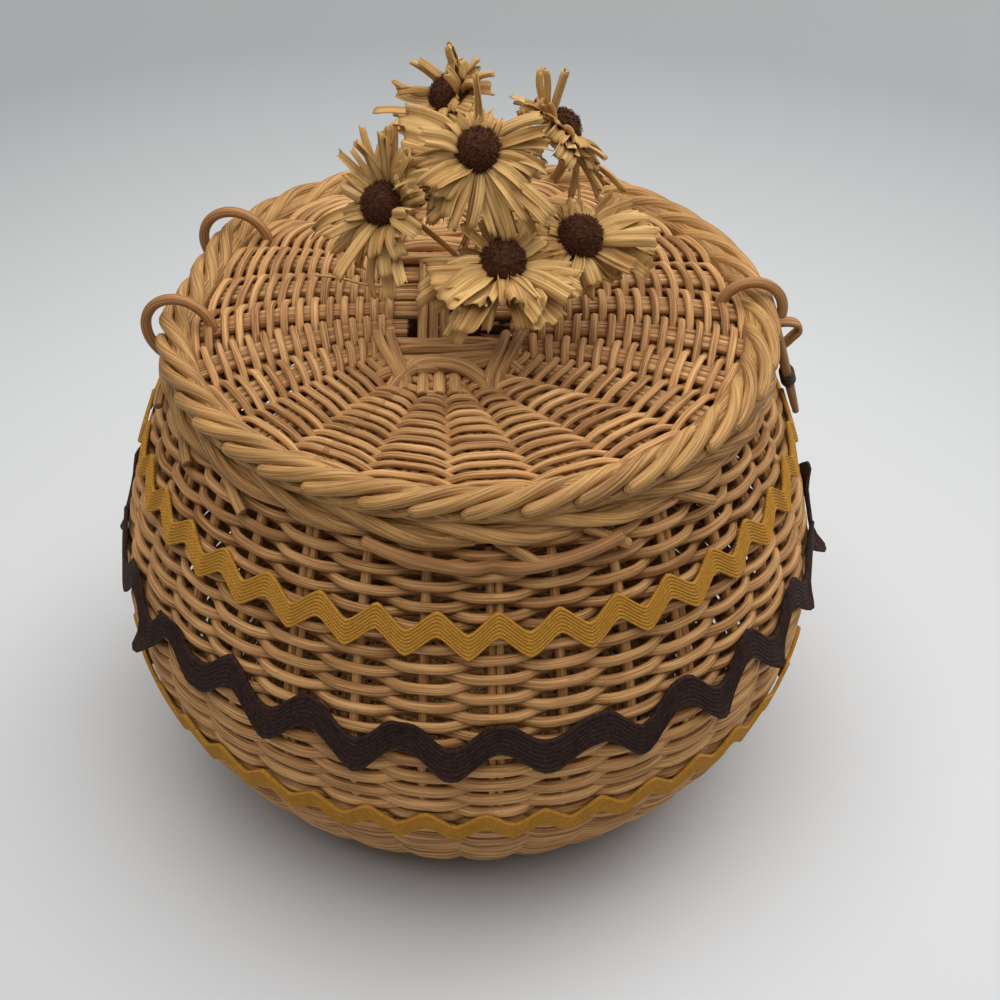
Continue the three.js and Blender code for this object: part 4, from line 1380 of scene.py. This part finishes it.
# Strips of each flower, group by group: first and last direction in its face, number, length and
# width in millimetres, then rise, bend along the strip and curl across it, all in degrees.
# A direction of 0 points to the right of the face, and 90 points up.
HUSKS = {
    "right_back": (
        (140, 225, 9, 14, 5.5, 34, -75, 90),
        (50, 130, 8, 12, 5.0, 52, -85, 90),
        (225, 300, 10, 20, 3.0, 0, -42, 150),
        (78, 104, 3, 19, 3.8, 44, 0, 300),
        (300, 410, 9, 14, 3.4, 20, -28, 150),
        (20, 320, 6, 10, 5.0, 74, -140, 90),
    ),
    "back": (
        (228, 312, 11, 19, 3.6, 34, -10, 180),
        (115, 200, 5, 16, 3.4, 54, 0, 240),
        (55, 110, 5, 11, 3.2, 40, -32, 150),
        (-45, 50, 10, 14, 3.8, 40, -62, 120),
        (20, 320, 8, 11, 3.8, 75, -120, 100),
    ),
    "left": (
        (95, 150, 9, 18, 3.6, 24, -20, 220),
        (150, 215, 8, 11, 4.4, 12, -20, 130),
        (215, 300, 12, 21, 4.0, 8, -36, 140),
        (-55, 30, 9, 16, 4.6, 24, -34, 140),
        (30, 95, 7, 17, 5.0, 32, -24, 90),
    ),
    "front": (
        (150, 232, 13, 19, 6.2, 24, -34, 90),
        (234, 318, 20, 22.5, 3.2, 4, -44, 140),
        (-42, 40, 15, 16, 4.2, 36, -95, 120),
        (42, 148, 14, 9, 5.0, 44, -120, 70),
        (80, 82, 1, 19, 5.5, 24, 0, 320),
    ),
    "low_front": (
        (180, 236, 12, 21, 6.4, 12, -26, 100),
        (236, 258, 3, 18, 5.0, 40, -30, 310),
        (262, 284, 3, 15, 5.5, 60, -70, 330),
        (286, 350, 12, 18.5, 6.8, 14, -26, 80),
        (-8, 40, 4, 13, 3.5, 20, -24, 140),
        (50, 172, 9, 12, 3.2, 20, -24, 140),
    ),
    "low_right": (
        (-52, 28, 13, 18, 6.2, 14, -26, 90),
        (240, 306, 8, 12, 5.6, 14, -36, 110),
        (130, 235, 9, 13, 3.4, 14, -24, 130),
        (34, 125, 8, 7.5, 4.0, 30, -40, 120),
    ),
}

# Loose thin stems of two flowers over the lid, in millimetres along the starting cross
LOOSE_STEM = 0.7 * MM
LOOSE_STEMS = {
    "left": ((-43.0, 10.5, 158.5), (-36.0, 6.0, 160.5), (-26.0, 2.0, 160.5), (-12.0, 2.0, 161.0)),
    "low_right": ((24.1, 29.1, 165.0), (28.2, 5.8, 165.0), (24.5, -6.4, 160.0)),
}


# Fuzzy centre: the shares of its size that its dome and the roots of its fibres have, and the
# thickness of a fibre from root to tip
DOME_SHARE, ROOT_SHARE = 0.92, 0.9
FIBRE = (0.26 * MM, 0.22 * MM, 0.1 * MM)


def lay_fuzz(strands, middle, face, sizes):
    """A domed centre covered with short fibres."""
    side, high = face_axes(face)

    def dome(turn, lift, share):
        """Places on the dome, from the middle of its foot."""
        turn, lift = np.broadcast_arrays(turn, lift)
        out = sizes.pom_radius * share * np.cos(lift)
        rise = sizes.pom_height * share * np.sin(lift)
        level = (out * np.cos(turn))[..., None] * side + (out * np.sin(turn))[..., None] * high
        return level + rise[..., None] * face

    sides = 24
    lift = np.linspace(0, np.pi / 2, 9)[:-1]
    shell = dome(evenly(sides), lift[:, None], DOME_SHARE).reshape(-1, 3)
    top = face * sizes.pom_height * DOME_SHARE * np.sin(lift[-1]) * 1.01
    points = middle + np.concatenate([shell, [top, np.zeros(3)]])
    here = np.arange(sides)
    following = (here + 1) % sides
    last = sides * (len(lift) - 1)
    faces = [
        grid_faces(len(lift), sides, False, True)[:, ::-1],
        fan_faces(last + here, last + following, len(shell)),
        fan_faces(following, here, len(shell) + 1),
    ]
    strands.add(points, points * 1.0, np.zeros(len(points)), faces, 0.2)
    count = sizes.fuzz
    turn = strands.random.uniform(0, TAU, count)
    lift = np.arcsin(strands.random.uniform(0.0, 1, count))
    place = dome(turn, lift, ROOT_SHARE)
    way = unit(unit(place) + strands.random.normal(0, 0.45, (count, 3)))
    reach = sizes.fuzz_length * strands.random.uniform(0.5, 1.2, count)
    for start, direction, far in zip(middle + place, way, reach):
        turned_way = unit(direction + strands.random.normal(0, 0.5, 3))
        path = np.stack([start, start + direction * far * 0.6, start + turned_way * far])
        strands.reed(path, FIBRE, sides=3)


class BASKET_OT_flowers(bpy.types.Operator):
    """Makes the bunch of husk flowers: curled petals, fuzzy centres, stems and taped binding"""

    bl_idname = "basket.flowers"
    bl_label = "Flowers"

    def execute(self, context):
        sizes = context.scene.basket_flowers
        for index, name in enumerate(FACINGS):
            self.flower(name, sizes, 200 + 10 * index, context.scene.basket_lid.hub_turn)
        self.binding()
        return {"FINISHED"}

    def flower(self, name, sizes, seed, turned_by):
        """One flower with its own draw of petals."""
        middle, face = head_of(name)
        side, high = face_axes(face)
        petals = Strands(seed)
        random = petals.random
        for first, last, count, size, wide, rise, bend, curl in HUSKS[name]:
            for turn in np.radians(np.linspace(first, last, count)):
                turn += random.normal(0, 0.13)
                out = side * math.cos(turn) + high * math.sin(turn)
                root = middle + out * PETAL_ROOT + face * random.uniform(-1.2, 0.4) * MM
                strip = (
                    size * random.uniform(0.72, 1.06) * MM,
                    wide * random.uniform(0.8, 1.25) * MM,
                    math.radians(rise + random.normal(0, 15)),
                    math.radians(bend + random.normal(0, 24)),
                    math.radians(curl * random.uniform(0.6, 1.2)) * random.choice((1, 1, -1)),
                )
                lay_petal(petals, root, out, face, *strip)
        petals.build(f"petals_{name}", "straw", "lid", f"flower_{name}_petals")
        centre = Strands(seed + 1)
        lay_fuzz(centre, middle, face, sizes)
        centre.build(f"centre_{name}", "pom", "lid", f"flower_{name}_centre")
        corners = corners_of(f"flower_{name}_stem")
        foot = corners[corners[:, 2] < corners[:, 2].min() + 0.5 * MM].mean(axis=0)
        back = middle - face * 1.5 * MM
        points = (foot, foot + UP * 4 * MM, back - face * 9 * MM, back)
        stem = Strands(seed + 2)
        stem.reed(smooth_path(points, 8), sizes.stem, sides=8)
        if name in LOOSE_STEMS:
            loose = smooth_path(LOOSE_STEMS[name], 8) * MM
            x, y = plan_turned(loose, turned_by)
            path = np.stack([x, y, loose[:, 2]], axis=-1)
            stem.reed(path, LOOSE_STEM, sides=6, tone=1.0)
        stem.build(f"stem_{name}", "straw", "lid", f"flower_{name}_stem")

    def binding(self):
        """The tape wound round the stems where they stand in the lid."""
        low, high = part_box("stem_binding")
        middle = np.array([(low.x + high.x) / 2, (low.y + high.y) / 2, 0.0])
        tape = 1.6 * MM
        radius = (high.x - low.x) / 2 - tape / 2
        turns = 8
        turn = np.linspace(0, turns * TAU, turns * 24)
        rise = np.linspace(low.z + tape, high.z - tape / 2, len(turn))
        strands = Strands(301)
        strands.reed(middle + ring(radius, turn, rise), 2.0 * MM, up=UP)
        core = np.array([middle + UP * low.z, middle + UP * (high.z - 0.5 * MM)])
        strands.reed(core, 2 * radius, sides=16)
        strands.build("stem_tape", "green_tape", "lid", "stem_binding")


# Stage

# Lights: place, size in metres and power in watts
LIGHTS = {
    "key_light": ((0.12, 0.0, 1.8), 3.0, 61.0),
    "fill_light": ((-0.7, -0.7, 0.9), 1.0, 0.7),
    "back_light": ((0.6, 0.8, 0.8), 0.8, 4.0),
}
LIT_PLACE = (0, 0, 0.08)
SKY_COLOUR, SKY_STRENGTH = (1.0, 0.98, 0.95), 0.17

# Floor: half its side, the distances over which painted shade darkens it away from the basket, and
# then joins the backdrop
FLOOR_HALF = 3.0
PAINTED_FALLOFF = (0.16, 0.46)
JOINING = (0.5, 1.4)

# Camera: its direction and distance, the height it looks at, its lens and its framing
VIEW_TURN, VIEW_DOWN = math.radians(15), math.radians(38.6)
VIEW_DISTANCE, VIEW_HEIGHT = 0.7199, 0.0797
SENSOR_WIDTH, FOCAL_LENGTH = 36.0, 86.4
SHIFT_X, SHIFT_Y = 0.0319, 0.0162


class BASKET_OT_stage(bpy.types.Operator):
    """Sets the pale floor, the backdrop, the soft light and the camera"""

    bl_idname = "basket.stage"
    bl_label = "Stage"

    def execute(self, context):
        scene = context.scene
        colours = scene.basket_colours
        staged = [self.floor(scene, colours)]
        self.backdrop(scene, colours)
        for name, (place, size, power) in LIGHTS.items():
            lamp = bpy.data.lights.new(name, "AREA")
            lamp.size = size
            lamp.energy = power
            light = bpy.data.objects.new(name, lamp)
            light.location = place
            aim = Vector(LIT_PLACE) - Vector(place)
            light.rotation_euler = aim.to_track_quat("-Z", "Y").to_euler()
            scene.collection.objects.link(light)
            staged.append(light)
        self.camera(scene)
        scene.view_settings.view_transform = "Standard"
        return {"FINISHED"}

    def floor(self, scene, colours):
        """The pale floor: painted shade darkens it with distance, and it ends in the colour of the
        backdrop.
        """
        mesh = bpy.data.meshes.new("floor")
        signs = ((-1, -1), (1, -1), (1, 1), (-1, 1))
        corners = [(x * FLOOR_HALF, y * FLOOR_HALF, 0) for x, y in signs]
        mesh.from_pydata(corners, [], [(0, 1, 2, 3)])
        floor = bpy.data.objects.new("floor", mesh)
        scene.collection.objects.link(floor)
        material, nodes, shader = principled("floor", {"Roughness": 0.85})
        place = nodes.new("ShaderNodeTexCoord").outputs["Object"]
        away = nodes.new("ShaderNodeVectorMath", {0: place}, operation="LENGTH").outputs["Value"]
        falloff_share = nodes.ramp(away, *PAINTED_FALLOFF)
        shaded_floor = nodes.mix(falloff_share, tuple(colours.floor), tuple(colours.far_floor_shade))
        nodes.feed(shader.inputs["Base Color"], shaded_floor)
        glow = nodes.new("ShaderNodeEmission", {"Color": tuple(colours.backdrop)})
        share = nodes.math("MULTIPLY", self.looked_at(nodes), nodes.ramp(away, *JOINING))
        self.blend(nodes, share, shader, glow, "Material Output")
        mesh.materials.append(material)
        return floor

    def backdrop(self, scene, colours):
        """The soft light from all round, seen as a plain grey backdrop."""
        world = bpy.data.worlds.new("soft_light")
        world.use_nodes = True
        nodes = Nodes(world.node_tree)
        sky = world.node_tree.nodes["Background"]
        nodes.feed(sky.inputs["Color"], SKY_COLOUR)
        nodes.feed(sky.inputs["Strength"], SKY_STRENGTH)
        plain_grey = nodes.new("ShaderNodeBackground", {"Color": tuple(colours.backdrop)})
        self.blend(nodes, self.looked_at(nodes), sky, plain_grey, "World Output")
        scene.world = world

    def looked_at(self, nodes):
        """1 where a surface is looked at or mirrored, 0 where it only gives light."""
        ray = nodes.new("ShaderNodeLightPath").outputs
        mirrored = nodes.math("MAXIMUM", ray["Is Glossy Ray"], ray["Is Transmission Ray"])
        return nodes.math("MAXIMUM", ray["Is Camera Ray"], mirrored)

    def blend(self, nodes, share, first, second, output):
        """Puts a blend of two shaders into the output of a material or world."""
        inputs = {0: share, 1: first.outputs[0], 2: second.outputs[0]}
        blended = nodes.new("ShaderNodeMixShader", inputs)
        nodes.feed(nodes.tree.nodes[output].inputs["Surface"], blended.outputs[0])

    def camera(self, scene):
        """The camera at the photo's own place and angle."""
        lens = bpy.data.cameras.new("camera")
        lens.sensor_width = SENSOR_WIDTH
        lens.lens = FOCAL_LENGTH
        lens.shift_x = SHIFT_X
        lens.shift_y = SHIFT_Y
        lens.clip_start = 0.01
        camera = bpy.data.objects.new("camera", lens)
        away = VIEW_DISTANCE * math.cos(VIEW_DOWN)
        camera.location = (
            away * math.sin(VIEW_TURN),
            -away * math.cos(VIEW_TURN),
            VIEW_HEIGHT + VIEW_DISTANCE * math.sin(VIEW_DOWN),
        )
        camera.rotation_euler = (math.pi / 2 - VIEW_DOWN, 0, VIEW_TURN)
        scene.collection.objects.link(camera)
        scene.camera = camera


# Registration

GROUPS = {
    "basket_wall": BasketWallSizes,
    "basket_lid": BasketLidSizes,
    "basket_trims": BasketTrimSizes,
    "basket_flowers": BasketFlowerSizes,
    "basket_colours": BasketColours,
}
OPERATORS = (
    BASKET_OT_base,
    BASKET_OT_wall,
    BASKET_OT_rim,
    BASKET_OT_trims,
    BASKET_OT_hinges,
    BASKET_OT_lid,
    BASKET_OT_hub,
    BASKET_OT_lid_border,
    BASKET_OT_clasp,
    BASKET_OT_flowers,
    BASKET_OT_stage,
)


class BASKET_PT_sidebar(bpy.types.Panel):
    """Lists the operators and the sizes of the basket"""

    bl_idname = "BASKET_PT_sidebar"
    bl_label = "Lidded sewing basket"
    bl_space_type = "VIEW_3D"
    bl_region_type = "UI"
    bl_category = "Basket"

    def draw(self, context):
        layout = self.layout
        for operator in OPERATORS:
            layout.operator(operator.bl_idname)
        for name, group in GROUPS.items():
            box = layout.box()
            box.label(text=group.__doc__)
            sizes = getattr(context.scene, name)
            for prop in group.__annotations__:
                box.prop(sizes, prop)


def register():
    """Registers the properties, the operators and the panel."""
    for name, group in GROUPS.items():
        bpy.utils.register_class(group)
        setattr(bpy.types.Scene, name, bpy.props.PointerProperty(type=group))
    for operator in OPERATORS:
        bpy.utils.register_class(operator)
    bpy.utils.register_class(BASKET_PT_sidebar)


def unregister():
    """Takes the panel, the operators and the properties out again."""
    bpy.utils.unregister_class(BASKET_PT_sidebar)
    for operator in reversed(OPERATORS):
        bpy.utils.unregister_class(operator)
    for name, group in reversed(GROUPS.items()):
        delattr(bpy.types.Scene, name)
        bpy.utils.unregister_class(group)


def main():
    register()
    for operator in OPERATORS:
        category, action = operator.bl_idname.split(".")
        getattr(getattr(bpy.ops, category), action)()


if __name__ == "__main__":
    main()
